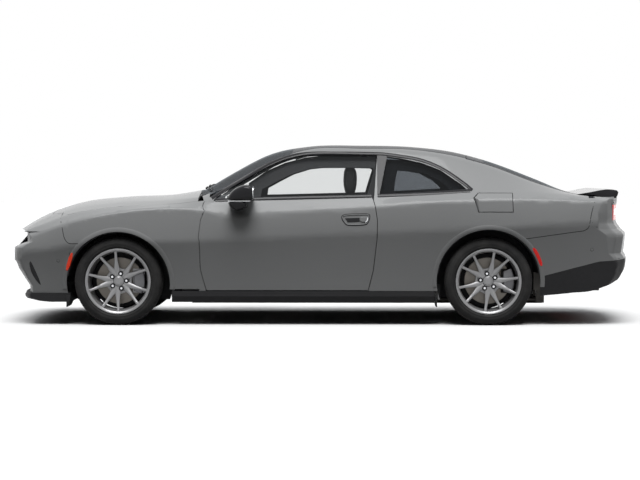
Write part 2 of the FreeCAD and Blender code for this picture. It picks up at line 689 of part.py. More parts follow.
hub_profile = [("spindle_radius + seat_gap", "0"), ("hub_radius", "0"), ("hub_radius", "34"),
               ("40", "44"), ("spindle_radius + seat_gap", "44")]
disc_profile = [("spindle_radius + seat_gap", "-seat_gap"), ("92", "-seat_gap"), ("92", "-40"),
                ("disc_radius", "-40"), ("disc_radius", "-40 - disc_width"),
                ("84", "-40 - disc_width"), ("84", "-12"), ("spindle_radius + seat_gap", "-12")]
# One pair of spokes, a V that stands over a lug: (across, out from the middle).
spoke_pair = [("-26", "hub_radius - 14"), ("26", "hub_radius - 14"), ("96", "rim_seat_radius - 22"),
              ("56", "rim_seat_radius - 7"), ("0", "hub_radius + 30"), ("-56", "rim_seat_radius - 7"),
              ("-96", "rim_seat_radius - 22")]


tyre = turned("tyre_form", tyre_profile)
barrel = turned("rim_barrel", barrel_profile)
hub = turned("rim_hub", hub_profile, y="hub_face_offset")
disc = turned("brake_disc", disc_profile, y="hub_face_offset")
spokes = padded("rim_spokes", "XZ_Plane", spoke_pair, "30", y="hub_face_offset + 30")
doc.recompute()
pattern = spokes.newObject("PartDesign::PolarPattern", "spoke_pattern")
pattern.Originals = [spokes.Group[1]]
pattern.Axis = (spokes.Group[0], ["N_Axis"])
pattern.Angle = 360
pattern.Occurrences = 5
spokes.Tip = pattern
rim = doc.addObject("Part::MultiFuse", "rim")
rim.Shapes = [barrel, hub, spokes]
wheel_set = doc.addObject("Part::Compound", "rim_and_disc")
wheel_set.Links = [rim, disc]
doc.recompute()
# How far each wheel has turned from having a lug straight up.
wheel_turns = {"front_left": 15.5, "front_right": 33.0, "rear_left": -9.5, "rear_right": 12.0}
for place_name, axle_text, side in wheel_places:
    facing = FreeCAD.Rotation(Vec(0, 1, 0), wheel_turns[place_name])
    if side < 0:
        facing = facing * FreeCAD.Rotation(Vec(0, 0, 1), 180)
    for label, source in (("wheel", wheel_set), ("tyre", tyre)):
        item = doc.addObject("Part::Compound", f"{label}_{place_name}")
        item.Label = f"{label}_{place_name}"
        item.Links = [source]
        item.Placement = FreeCAD.Placement(Vec(0, 0, 0), facing)
        place(item, axle_text, f"{side} * half_track", "tyre_radius")
        parts_to_keep.append(item)


def box(label, x, y, z, length, width, height):
    """A box standing at its middle in X and Y, and on its foot in Z."""
    item = doc.addObject("Part::Box", label)
    item.setExpression("Length", with_sheet(length))
    item.setExpression("Width", with_sheet(width))
    item.setExpression("Height", with_sheet(height))
    place(item, f"{x} - ({length}) / 2", f"{y} - ({width}) / 2", z)
    return item


def rod(label, radius, length, x, y, z, direction=(0, 0, 1)):
    item = doc.addObject("Part::Cylinder", label)
    item.setExpression("Radius", with_sheet(radius))
    item.setExpression("Height", with_sheet(length))
    item.Placement = FreeCAD.Placement(Vec(0, 0, 0), FreeCAD.Rotation(Vec(0, 0, 1), Vec(*direction)))
    place(item, x, y, z)
    return item


def joined(label, items, keep=True):
    item = doc.addObject("Part::MultiFuse", label)
    item.Label = label
    item.Shapes = items
    if keep:
        parts_to_keep.append(item)
    return item


def grouped(label, items):
    item = doc.addObject("Part::Compound", label)
    item.Label = label
    item.Links = items
    parts_to_keep.append(item)
    return item


def without(label, base, tool):
    item = doc.addObject("Part::Cut", label)
    item.Base = base
    item.Tool = tool
    return item


def both_sides(name, items):
    """The same pieces again on the car's left."""
    copies = []
    for number, item in enumerate(items):
        copy = doc.addObject("Part::Mirroring", f"{name}_left_{number}")
        copy.Source = item
        copy.Normal = Vec(0, 1, 0)
        copies.append(copy)
    return items + copies


# Knuckles with their calipers, and the stub shafts that the hubs turn on.
def upright_pieces(name, axle, foot, caliper_way):
    spindle_end = "half_track + hub_face_offset + 40"
    pieces = [
        box(f"{name}_upright", axle, "712", "tyre_radius - 110", "130", "46", "220"),
        rod(f"{name}_spindle", "spindle_radius", f"{spindle_end} - 700", axle, "700", "tyre_radius",
            (0, 1, 0)),
        box(f"{name}_top", axle, "662", "tyre_radius + 98", "70", "120", "14"),
        box(f"{name}_bridge", f"{axle} + {caliper_way} * 100", "752", "tyre_radius - 45", "110", "46", "90"),
    ]
    if foot:
        pieces.append(box(f"{name}_foot", axle, "745", "168 + seat_gap", "60", "100", "14"))
        pieces.append(box(f"{name}_shin", axle, "712", "168 + seat_gap", "60", "40", "100"))
    block_body = box(f"{name}_caliper_block", f"{axle} + {caliper_way} * 162", "798", "tyre_radius - 100",
                     "100", "76", "200")
    slot = rod(f"{name}_disc_slot", "disc_radius + 4", "disc_width + 12",
               axle, "half_track + hub_face_offset - 46 - disc_width", "tyre_radius", (0, 1, 0))
    cut_block = without(f"{name}_caliper_cut", block_body, slot)
    drum = rod(f"{name}_caliper_limit", "rim_seat_radius - rim_wall - 17", "200", axle, "700",
               "tyre_radius", (0, 1, 0))
    caliper = doc.addObject("Part::Common", f"{name}_caliper")
    caliper.Base = cut_block
    caliper.Tool = drum
    pieces.append(caliper)
    return pieces


knuckle_right = joined("knuckle_right", upright_pieces("front", "front_axle_x", True, 1))
knuckle_left = doc.addObject("Part::Mirroring", "knuckle_left")
knuckle_left.Label = "knuckle_left"
knuckle_left.Source = knuckle_right
knuckle_left.Normal = Vec(0, 1, 0)
parts_to_keep.append(knuckle_left)

# Subframes, arms and struts.
rear_x = "(front_axle_x + wheelbase)"
arm_outline = [("front_axle_x - 190", "330"), ("front_axle_x + 190", "330"), ("front_axle_x + 24", "600"),
               ("front_axle_x + 24", "800"), ("front_axle_x - 24", "800"), ("front_axle_x - 24", "600")]


def flat(label, corners, z_from, height):
    body = doc.addObject("PartDesign::Body", label)
    body.Label = label
    sketch = outline_sketch(body, "XY_Plane", corners, label + "_outline")
    pad = body.newObject("PartDesign::Pad", label + "_pad")
    pad.Profile = sketch
    pad.setExpression("Length", with_sheet(height))
    place(body, z=z_from)
    return body


front_side = [
    flat("front_arm", arm_outline, "150", "18"),
    box("front_rail", "front_axle_x + 22 - seat_gap / 2", "425", "420", "1394 - seat_gap", "60", "110"),
    box("front_post", "front_axle_x", "425", "190", "120", "60", "240"),
    rod("front_strut", "24", "420", "front_axle_x", "602", "tyre_radius + 112 + seat_gap"),
    rod("front_spring", "40", "250", "front_axle_x", "602", "tyre_radius + 260"),
    box("front_tower", "front_axle_x", "515", "tyre_radius + 500", "150", "240", "40"),
    box("front_tower_post", "front_axle_x", "425", "520", "150", "60", "380"),
]
front_cross = [box("front_crossmember", "front_axle_x", "0", "190", "150", "880", "60"),
               box("front_bumper_beam", "front_axle_x - 690", "0", "420", "40", "1100", "110"),
               box("front_arm_mount", "front_axle_x", "0", "150", "390", "680", "42")]
front_subframe = joined("front_subframe", both_sides("front", front_side) + front_cross, keep=False)
rear_side = upright_pieces("rear", rear_x, False, 1) + [
    box("rear_lower_arm", rear_x, "500", "170", "90", "420", "40"),
    box("rear_shin", rear_x, "706", "170", "60", "30", "100"),
    rod("rear_half_shaft", "22", "560", rear_x, "160", "tyre_radius", (0, 1, 0)),
    rod("rear_spring", "56", "240", rear_x, "560", "209"),
    box("rear_rail", f"{rear_x} + 260", "400", "440", "1160", "60", "40 - seat_gap"),
    box("rear_post", rear_x, "400", "200", "160", "60", "242"),
]
rear_cross = [box("rear_crossmember", rear_x, "0", "200", "150", "840", "50"),
              box("rear_differential", rear_x, "0", "245", "300", "340", "190")]
rear_subframe = joined("rear_subframe", both_sides("rear", rear_side) + rear_cross, keep=False)
grouped("subframes", [front_subframe, rear_subframe])

# Floor, sills, engine and exhaust.
floor_top = "(cabin_floor_height + floor_wall)"
floor_profile = [("front_axle_x + 719", "955"), ("front_axle_x + 749", "955"), ("front_axle_x + 749", "430"),
                 ("front_axle_x + 980", floor_top), (f"{rear_x} - 720", floor_top),
                 (f"{rear_x} - 560", "480 + floor_wall"), (f"{rear_x} - 480", "480 + floor_wall"),
                 (f"{rear_x} - 480", "480"), (f"{rear_x} - 540", "480"),
                 (f"{rear_x} - 700", "cabin_floor_height"), ("front_axle_x + 960", "cabin_floor_height"),
                 ("front_axle_x + 719", "410")]
front_floor = padded("front_floor", "XZ_Plane", floor_profile, "1516")
cargo_floor = box("cargo_floor", f"{rear_x} + 190", "0", "480", "1346", "924", "floor_wall")
joined("floor_pan", [front_floor, cargo_floor])

sill_outline = [("858 + seat_gap", "190"), ("858 + seat_gap", "283"), ("932", "283"), ("936", "240"),
                ("908", "190")]
sill = padded("sill_form", "YZ_Plane", sill_outline, "wheelbase - 2 * arch_radius - 30",
              x="front_axle_x + wheelbase / 2")
hinge_hole = rod("sill_hinge_hole", "10 + seat_gap", "60", "front_axle_x + door_axis_offset",
                 "half_width - door_axis_inset", "door_bottom_height - 16")
grouped("side_sills", both_sides("sill", [without("sill_right", sill, hinge_hole)]))

joined("engine", [
    box("engine_block", "front_axle_x + 120", "0", "250 + seat_gap", "640", "560", "440"),
    box("engine_top", "front_axle_x + 100", "0", "690", "520", "480", "120"),
    box("gearbox", "front_axle_x + 560", "0", "256", "300", "300", "190")])

pipe_y = "150"
exhaust_side = [
    rod("exhaust_pipe", "30", f"wheelbase - 700 - 150", "front_axle_x + 560", pipe_y, "165", (1, 0, 0)),
    box("exhaust_hanger", "0", pipe_y, "190", "40", "30", "cabin_floor_height - 190 - seat_gap"),
    box("exhaust_riser", f"{rear_x} - 480", pipe_y, "140", "80", "70", "60"),
    box("silencer", f"{rear_x} + 560", "330", "270", "300", "420", "150"),
    box("silencer_hanger", f"{rear_x} + 560", "330", "415", "40", "40", "65 - seat_gap"),
    rod("exhaust_tip", "52", "330", f"{rear_x} + 640", "470", "315", (1, 0, 0)),
    rod("exhaust_link", "30", "1000", f"{rear_x} - 480", pipe_y, "165", (1, 0, 0)),
    box("exhaust_lift", f"{rear_x} + 500", pipe_y, "140", "70", "70", "160"),
]
joined("exhaust", both_sides("exhaust", exhaust_side))

# Cabin.
seat_profile = [("-330", "390"), ("-350", "480"), ("-300", "520"), ("90", "480"), ("150", "560"),
                ("215", "1080"), ("190", "1180"), ("200", "1310"), ("250", "1330"), ("310", "1300"), ("310", "1180"),
                ("275", "1070"), ("260", "560"), ("190", "400")]
front_seat = padded("front_seat_form", "XZ_Plane", seat_profile, "500", y="370")
seat_base = box("seat_base", "-70", "370", f"{floor_top} + seat_gap", "380", "400", f"395 - {floor_top}")
rear_seat_profile = [("560", "540"), ("560", "610"), ("880", "560"), ("960", "610"), ("1080", "980"),
                     ("1130", "1000"), ("1170", "970"), ("1080", "525"), ("760", "520 + seat_gap")]
rear_seat = padded("rear_seat_form", "XZ_Plane", rear_seat_profile, "924")
rear_base = box("rear_seat_base", f"{rear_x} - 380", "0", "520 + seat_gap", "240", "900", "40")
grouped("seats", both_sides("seat", [joined("front_seat_right", [front_seat, seat_base], keep=False)])
        + [joined("rear_bench", [rear_seat, rear_base], keep=False)])

dash_profile = [("front_axle_x + 749 + seat_gap", "700"), ("front_axle_x + 749 + seat_gap", "985"),
                ("front_axle_x + 880", "1015"), ("front_axle_x + 1020", "985"),
                ("front_axle_x + 1060", "900"),
                ("front_axle_x + 1000", "740"), ("front_axle_x + 900", "690")]
dash_form = padded("dash_form", "XZ_Plane", dash_profile, "1476")
console_profile = [("front_axle_x + 900", "720"), ("front_axle_x + 1040", "700"),
                   ("front_axle_x + 1300", "520"),
                   ("front_axle_x + 1960", "520"), ("front_axle_x + 1960", f"{floor_top} + seat_gap"),
                   ("front_axle_x + 1020", f"{floor_top} + seat_gap")]
console = padded("console_form", "XZ_Plane", console_profile, "200")
column_lean = 22
column_way = (math.cos(math.radians(column_lean)), 0, math.sin(math.radians(column_lean)))
column = rod("steering_column", "26", "150", "front_axle_x + 1020", "-370", "860", column_way)
joined("dashboard", [dash_form, console, column])

wheel_middle = Vec(front_axle + 1020, -370, 860) + Vec(*column_way) * 155
ring = doc.addObject("Part::Torus", "steering_ring")
ring.setExpression("Radius1", "sizes.steering_wheel_radius")
ring.Radius2 = 15
boss = rod("steering_boss", "52", "40", "0", "0", "-20")
bar = box("steering_bar", "0", "0", "-9", "2 * steering_wheel_radius - 8", "44", "18")
stem = box("steering_stem", "0", "-steering_wheel_radius / 2", "-9", "44", "steering_wheel_radius", "18")
steering = joined("steering_wheel", [ring, boss, bar, stem])
steering.Placement = FreeCAD.Placement(
    wheel_middle + Vec(*column_way) * 15.3,
    FreeCAD.Rotation(Vec(0, 0, 1), Vec(*column_way)) * FreeCAD.Rotation(Vec(0, 0, 1), 90))

# Cowl, liners, quarter glass and mirrors.
cowl_bottom = hood_axis_z - 130
cowl = outer.common(block(front_axle + 600, front_axle + 719 - seam, -740, 740, cowl_bottom,
                           windshield_foot - size("seat_gap")))
cowl = cowl.cut(cross_bar(hood_rear_radius + gap, hood_axis_x, hood_axis_z, -far, far)).cut(hood_zone(gap))
for side, hand in sides:
    for x_to, z_to in ((hood_axis_x + 12, hood_axis_z), (front_axle + 700, cowl_bottom + 18)):
        cowl = cowl.fuse(beside(side, hood_leaf_y + 27, hood_leaf_y + 50, hood_axis_x - 12, x_to,
                                cowl_bottom, z_to))
    low, high = side_range(side, hood_leaf_y + 27, hood_leaf_y + 50)
    cowl = cowl.fuse(cross_bar(12.5, hood_axis_x, hood_axis_z, low, high))
cowl = cowl.cut(cross_bar(9 + seam, hood_axis_x, hood_axis_z, -far, far))
panel("cowl_panel", cowl)

liner_shapes = []
for axle_x, height in ((front_axle, size("front_arch_height")), (rear_axle, size("rear_arch_height"))):
    for side, hand in sides:
        low, high = side_range(side, size("arch_inner_y"), 945)
        tube = cross_bar(size("arch_radius") - seam, axle_x, height, low, high)
        tube = tube.cut(cross_bar(size("arch_radius") - size("liner_wall"), axle_x, height, low, high))
        strut = Part.makeCylinder(66, 500, Vec(front_axle, side * 602, 500))
        liner_shapes.append(tube.cut(strut).cut(block(-3000, 3000, -far, far, -400, height + 60)))
panel("wheel_liners", Part.makeCompound(liner_shapes))

panes = [glass_skin.common(glass_zone(side, quarter_outline, 0)) for side, hand in sides]
panel("quarter_glass", Part.makeCompound([solid for pane in panes for solid in pane.Solids]))

mirror_side = [(-763, 1010), (-740, 1110), (-690, 1165), (-600, 1170), (-552, 1140), (-548, 1010),
               (-600, 960), (-720, 952)]
mirror_plan = [(-700, 900), (-770, 1010), (-745, 1100), (-690, 1128), (-560, 1110), (-548, 930), (-600, 900)]
for side, hand in sides:
    low, high = side_range(side, 880, far)
    plan = [(x, side * y) for x, y in mirror_plan]
    housing = side_prism(mirror_side, low, high).common(plan_prism(plan, 900, 1200))
    stalk = beside(side, 850, 960, -735, -640, 965, 1030)
    housing = housing.cut(beside(side, 800, 935, -3000, 0, 1031, 1300)).fuse(stalk)
    panel(f"mirror_{hand}", housing.cut(outer))

doc.recompute()
for item in doc.Objects:
    if "Invalid" in item.State or "Error" in item.State:
        raise SystemExit(f"{item.Label} failed to build")
for item in parts_to_keep:
    if item.Shape.isNull() or not item.Shape.isValid() or not item.Shape.Solids:
        raise SystemExit(f"{item.Label} has no valid solid")

os.makedirs("parts", exist_ok=True)
for item in parts_to_keep:
    item.Shape.exportStep(f"parts/{item.Label}.step")
    print(item.Label, len(item.Shape.Solids), round(item.Shape.Volume / 1e6, 2))
print(len(parts_to_keep), "nodes")
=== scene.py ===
import json
import math
import bmesh
import bpy
import numpy as np
from mathutils import Matrix, Vector
from mathutils.bvhtree import BVHTree


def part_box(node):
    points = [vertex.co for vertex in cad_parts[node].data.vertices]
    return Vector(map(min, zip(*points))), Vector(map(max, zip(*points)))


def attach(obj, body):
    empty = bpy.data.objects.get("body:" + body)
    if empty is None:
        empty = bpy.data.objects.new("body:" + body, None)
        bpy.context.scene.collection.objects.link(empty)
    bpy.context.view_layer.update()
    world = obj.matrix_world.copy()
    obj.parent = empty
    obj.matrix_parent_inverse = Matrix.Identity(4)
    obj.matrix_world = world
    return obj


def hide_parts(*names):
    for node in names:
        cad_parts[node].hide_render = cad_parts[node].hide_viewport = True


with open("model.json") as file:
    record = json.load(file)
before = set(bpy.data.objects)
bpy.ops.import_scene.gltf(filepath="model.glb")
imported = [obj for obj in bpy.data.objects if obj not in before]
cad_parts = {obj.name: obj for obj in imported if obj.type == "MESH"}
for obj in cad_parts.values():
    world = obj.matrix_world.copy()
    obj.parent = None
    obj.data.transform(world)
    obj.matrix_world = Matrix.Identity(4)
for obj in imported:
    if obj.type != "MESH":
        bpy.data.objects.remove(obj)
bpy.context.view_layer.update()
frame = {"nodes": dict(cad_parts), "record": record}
nodes = frame["nodes"]
bodyOf = {name: body for body, names in frame["record"]["behaviour"]["bodies"].items() for name in names}
print("frame:", len(nodes), "nodes")

# What a user may want to change about the view and its light.
view = {"distance": 17.0, "eyeX": 0.164, "eyeZ": 1.288, "aimX": -0.002, "aimY": -0.97, "aimZ": 0.709,
           "lens": 115.6, "skyZenith": 1.1, "skyHorizon": 0.03, "sunPower": 2.6, "sunTilt": 21.0,
           "sunSpread": 34.0, "floorGrey": 0.06, "floorPale": 0.88, "floorReach": 60.0}

scene = bpy.context.scene
scene.view_settings.view_transform = "Standard"


def makeCamera():
    lens = bpy.data.cameras.new("camera")
    lens.lens = view["lens"]
    lens.sensor_width = 36.0
    lens.clip_end = 200.0
    camera = bpy.data.objects.new("camera", lens)
    scene.collection.objects.link(camera)
    aim = Vector((view["aimX"], view["aimY"], view["aimZ"]))
    camera.location = (view["eyeX"], view["aimY"] - view["distance"], view["eyeZ"])
    camera.rotation_mode = "QUATERNION"
    camera.rotation_quaternion = (aim - camera.location).to_track_quat("-Z", "Y")
    scene.camera = camera


# Finishes and the nodes they are made of.
class Wire:
    # A socket that can be added to, multiplied and so on.
    def __init__(self, maker, socket):
        self.maker = maker
        self.socket = socket

    def maths(self, operation, *others):
        return self.maker.add("ShaderNodeMath", {"operation": operation}, dict(enumerate((self,) + others)))

    def __add__(self, other):
        return self.maths("ADD", other)

    def __mul__(self, other):
        return self.maths("MULTIPLY", other)

    def __sub__(self, other):
        return self.maths("SUBTRACT", other)

    def __rsub__(self, other):
        return self.maker.add("ShaderNodeMath", {"operation": "SUBTRACT"}, {0: other, 1: self})

    __radd__ = __add__
    __rmul__ = __mul__

    def between(self, low, high):
        # 0 below low, 1 above high, and even in between.
        return self.maker.add("ShaderNodeMapRange", {"clamp": True},
                              {"Value": self, "From Min": low, "From Max": high})


class Maker:
    # A node tree, whose nodes all come from add().
    def __init__(self, tree):
        self.tree = tree
        self.tree.nodes.clear()

    def add(self, kind, settings=None, values=None, out=0):
        node = self.tree.nodes.new(kind)
        for key, value in (settings or {}).items():
            setattr(node, key, value)
        for key, value in (values or {}).items():
            if isinstance(value, Wire):
                self.tree.links.new(value.socket, node.inputs[key])
            elif isinstance(value, tuple) and len(value) == 3 and node.inputs[key].type == "RGBA":
                node.inputs[key].default_value = (*value, 1.0)
            else:
                node.inputs[key].default_value = value
        return Wire(self, node.outputs[out]) if node.outputs else node

    def seen(self):
        # 1 for what the camera, a reflection or clear glass looks at, and 0 for the light that lands.
        looks = [self.add("ShaderNodeLightPath", out=name)
                 for name in ("Is Camera Ray", "Is Glossy Ray", "Is Transmission Ray")]
        return looks[0].maths("MAXIMUM", looks[1]).maths("MAXIMUM", looks[2])


class Finish(Maker):
    # One material.
    def __init__(self, name):
        self.material = bpy.data.materials.new(name)
        self.material.use_nodes = True
        super().__init__(self.material.node_tree)
        self.place = self.add("ShaderNodeTexCoord", out="Object")

    def noise(self, scale, detail=2.0, rough=0.5):
        values = {"Vector": self.place, "Scale": scale, "Detail": detail, "Roughness": rough}
        return self.add("ShaderNodeTexNoise", {}, values)

    def cells(self, scale, feature="F1", out="Distance"):
        return self.add("ShaderNodeTexVoronoi", {"feature": feature}, {"Vector": self.place, "Scale": scale},
                        out)

    def axis(self, letter):
        return self.add("ShaderNodeSeparateXYZ", {}, {0: self.place}, letter)

    def mix(self, share, first, second):
        return self.add("ShaderNodeMix", {"data_type": "RGBA"}, {0: share, 6: first, 7: second}, 2)

    def bump(self, height, strength, distance):
        return self.add("ShaderNodeBump", {}, {"Height": height, "Strength": strength, "Distance": distance})

    def surface(self, **values):
        names = {"colour": "Base Color", "metal": "Metallic", "rough": "Roughness", "normal": "Normal",
                 "coat": "Coat Weight", "coatRough": "Coat Roughness", "coatIor": "Coat IOR", "ior": "IOR",
                 "specular": "Specular IOR Level", "sheen": "Sheen Weight", "glow": "Emission Color",
                 "glowStrength": "Emission Strength"}
        return self.add("ShaderNodeBsdfPrincipled", {}, {names[key]: value for key, value in values.items()})

    def done(self, shader):
        self.add("ShaderNodeOutputMaterial", {}, {"Surface": shader})
        return self.material


def carPaint(name, dark, light, metal, rough, coatIor=1.25, ior=1.12, coat=0.4):
    f = Finish(name)
    flakes = f.cells(700.0, out="Color")
    flake = f.add("ShaderNodeSeparateColor", {}, {0: flakes}, 0)
    cloud = f.noise(1.3, 3.0)
    colour = f.mix(flake * 0.5 + cloud * 0.5, dark, light)
    peel = f.noise(260.0, 1.0)
    return f.done(f.surface(colour=colour, metal=metal, rough=rough + flake * 0.08,
                            normal=f.bump(peel, 0.02, 0.0004), coat=coat, coatRough=0.03, coatIor=coatIor,
                            ior=ior))


def grained(name, dark, light, rough, scale=900.0, height=0.0004):
    # Moulded plastic or coated metal with a fine grain, a little worn and dusty in places.
    f = Finish(name)
    grain = f.cells(scale)
    cloud = f.noise(3.5, 4.0)
    wear = f.noise(28.0, 3.0)
    return f.done(f.surface(colour=f.mix(cloud * 0.6 + wear * 0.4, dark, light), rough=rough + wear * 0.12,
                            normal=f.bump(grain, 0.35, height), specular=0.2))


def glossBlack(name):
    f = Finish(name)
    tint = (0.012, 0.012, 0.014)
    cloud = f.noise(2.0, 3.0)
    dust = f.noise(60.0, 4.0)
    lighter = tuple(1.8 * c + 0.002 for c in tint)
    return f.done(f.surface(colour=f.mix(cloud, tint, lighter), rough=0.08 + dust * 0.08,
                            normal=f.bump(f.noise(180.0, 1.0), 0.02, 0.0004), coat=0.25, coatRough=0.03,
                            coatIor=1.3, specular=0.12))


def alloy(name, dark, light, rough, metal=0.9):
    f = Finish(name)
    cloud = f.noise(6.0, 3.0)
    fine = f.noise(520.0, 2.0)
    dust = f.noise(45.0, 4.0)
    return f.done(f.surface(colour=f.mix(cloud * 0.5 + dust * 0.5, dark, light), metal=metal,
                            rough=rough + fine * 0.1, normal=f.bump(fine, 0.08, 0.0003)))


def glass(name, tint, clear):
    # Tinted glass: what is behind it shows, and its face shines more towards the edge.
    f = Finish(name)
    streak = f.noise(2.5, 2.0)
    see = f.add("ShaderNodeBsdfTransparent", {}, {"Color": tint})
    shine = f.surface(colour=f.mix(streak, (0.66, 0.68, 0.70), (0.74, 0.76, 0.78)), rough=0.5, metal=1.0)
    facing = f.add("ShaderNodeLayerWeight", {}, {"Blend": 0.2}, "Fresnel")
    share = (facing * 0.1 + (1.0 - clear)).maths("MINIMUM", 1.0)
    return f.done(f.add("ShaderNodeMixShader", {}, {0: share, 1: see, 2: shine}))


def lens(name, tint, glow, coat=1.0):
    f = Finish(name)
    ribs = f.axis("X") * 260.0
    wave = ribs.maths("SINE") * 0.5 + 0.5
    colour = f.mix(wave * 0.4 + f.noise(30.0) * 0.3, tint, tuple(0.75 * c for c in tint))
    return f.done(f.surface(colour=colour, rough=0.12, normal=f.bump(wave, 0.12, 0.001), coat=coat,
                            coatIor=1.35, specular=0.2, coatRough=0.02, glow=colour, glowStrength=glow))


def rubber(name):
    f = Finish(name)
    dust = f.noise(9.0, 5.0)
    fine = f.noise(420.0, 2.0)
    return f.done(f.surface(colour=f.mix(dust.between(0.35, 0.75), (0.019, 0.019, 0.0195),
                                         (0.045, 0.044, 0.043)),
                            rough=0.62 + fine * 0.2, normal=f.bump(fine, 0.25, 0.0005), specular=0.2))


def leather(name, dark, light):
    f = Finish(name)
    warp = f.noise(18.0, 2.0)
    pores = f.cells(330.0, feature="SMOOTH_F1")
    creases = f.noise(38.0, 5.0, rough=0.7)
    height = pores * 0.7 + creases * 0.6
    return f.done(f.surface(colour=f.mix(warp * 0.6 + pores * 0.5, dark, light), rough=0.42 + creases * 0.25,
                            normal=f.bump(height, 0.5, 0.0012), sheen=0.15))


finishes = {
    "paint": carPaint("paint_grey", (0.262, 0.266, 0.268), (0.302, 0.306, 0.308), 0.05, 0.34),
    "roof_black": carPaint("roof_black", (0.014, 0.015, 0.018), (0.03, 0.033, 0.038), 0.0, 0.45, 1.1, 1.08,
                           0.3),
    "privacy_glass": glass("privacy_glass", (0.56, 0.575, 0.59), 0.997),
    "gloss_black": glossBlack("gloss_black"),
    "black_trim": grained("black_trim", (0.012, 0.012, 0.013), (0.028, 0.028, 0.03), 0.5),
    "window_glass": glass("window_glass", (0.915, 0.92, 0.92), 0.997),
    "screen_glass": glass("screen_glass", (0.30, 0.32, 0.34), 0.93),
    "lamp_lens": lens("lamp_lens", (0.55, 0.56, 0.58), 0.05),
    "red_lens": lens("red_lens", (0.58, 0.006, 0.003), 0.5, 0.1),
    "amber_lens": lens("amber_lens", (0.60, 0.030, 0.004), 0.55, 0.1),
    "seat_leather": leather("seat_leather", (0.022, 0.022, 0.024), (0.05, 0.05, 0.053)),
    "cabin_plastic": grained("cabin_plastic", (0.016, 0.0165, 0.018), (0.028, 0.0285, 0.031), 0.6, 700.0,
                             0.0006),
    "thread": grained("thread", (0.30, 0.29, 0.28), (0.38, 0.37, 0.36), 0.7, 900.0, 0.0002),
    "steering_leather": leather("steering_leather", (0.015, 0.015, 0.016), (0.035, 0.035, 0.037)),
    "chassis_steel": grained("chassis_steel", (0.02, 0.02, 0.021), (0.05, 0.048, 0.045), 0.6, 300.0, 0.0008),
    "engine_alloy": alloy("engine_alloy", (0.3, 0.3, 0.3), (0.45, 0.45, 0.45), 0.45),
    # The exhaust's steel is darker than bare steel: partly its own aged colour, partly painted shade for where
    # it lies under the body.
    "exhaust_steel": alloy("exhaust_steel", (0.06, 0.057, 0.053), (0.12, 0.113, 0.105), 0.42, metal=0.6),
    "knuckle_iron": alloy("knuckle_iron", (0.28, 0.28, 0.285), (0.42, 0.42, 0.43), 0.42, metal=0.7),
    "wheel_alloy": alloy("wheel_alloy", (0.25, 0.25, 0.255), (0.34, 0.34, 0.345), 0.3, metal=0.55),
    "tyre_rubber": rubber("tyre_rubber"),
    "chrome": alloy("chrome", (0.72, 0.73, 0.75), (0.82, 0.83, 0.85), 0.1, metal=1.0),
    "satin_silver": alloy("satin_silver", (0.55, 0.56, 0.57), (0.7, 0.71, 0.72), 0.26, metal=1.0),
    "plate_white": grained("plate_white", (0.46, 0.46, 0.45), (0.52, 0.52, 0.51), 0.45, 400.0, 0.0001),
    "disc_iron": alloy("disc_iron", (0.13, 0.118, 0.105), (0.20, 0.185, 0.165), 0.36, metal=0.7),
    "caliper_grey": alloy("caliper_grey", (0.10, 0.10, 0.105), (0.19, 0.19, 0.2), 0.32, metal=0.6),
}
slotOf = {part["node"]: part["material_slot"] for part in frame["record"]["subparts"]}


def wear(item, slot):
    item.data.materials.clear()
    item.data.materials.append(finishes[slot])


for nodeName, item in nodes.items():
    wear(item, slotOf[nodeName])
print("finishes:", len(finishes))

# The body's skin.
# Each row is a section of the body: how far it is behind an axle, then, in mm, how far the sill is above the
# sill height and the widest line, the shoulder and the belt are below the belt height, each with how far it
# lies inside the half width. The rail and the middle line end the row, their heights as shares of the roof's
# rise.
frontAxle, rearAxle, beltHeight, roofRise, halfWidth, sillHeight = -1.679, 1.395, 1.030, 0.470, 1.014, 0.212
skinTable = [
    ("front", -1021, -12, 214, 470, 144, 390, 164, 350, 214, -0.745, 374, -0.687),
    ("front", -721, -7, 154, 430, 89, 290, 114, 230, 184, -0.383, 374, -0.287),
    ("front", -421, -2, 119, 370, 29, 180, 54, 115, 164, -0.160, 354, -0.057),
    ("front", 0, 0, 99, 340, 10, 90, 49, 49, 164, -0.032, 334, 0.055),
    ("front", 429, 0, 94, 333, 14, 55, 54, 27, 154, 0.011, 294, 0.102),
    ("front", 679, 0, 96, 328, 24, 70, 56, 5, 134, 0.064, 214, 0.190),
    ("front", 919, 0, 99, 321, 31, 125, 52, 0, 119, 0.264, 269, 0.494),
    ("front", 1255, 0, 104, 308, 34, 100, 54, -1, 117, 0.683, 334, 0.851),
    ("front", 1579, 0, 104, 289, 36, 81, 56, -8, 117, 0.911, 384, 0.983),
    ("rear", -1045, 0, 104, 270, 34, 55, 54, -26, 121, 0.928, 402, 1.000),
    ("rear", -595, 0, 99, 250, 24, 15, 49, -52, 129, 0.904, 414, 0.972),
    ("rear", -245, 0, 94, 238, 10, -6, 39, -72, 134, 0.787, 414, 0.879),
    ("rear", 0, 0, 94, 227, 0, -15, 36, -78, 124, 0.649, 394, 0.745),
    ("rear", 455, 5, 99, 197, 6, -16, 49, -68, 144, 0.287, 324, 0.387),
    ("rear", 705, 18, 109, 184, 24, -12, 64, -50, 160, 0.132, 274, 0.166),
    ("rear", 1305, 88, 154, 170, 114, 15, 134, -15, 190, 0.060, 240, 0.096),
]
cowlRow = 5          # the hood ends and the windshield begins at this row
cornerSoftness = [0.03, 0.026, 0.022, 0.035, 0.05]   # sill, widest, shoulder, belt, rail


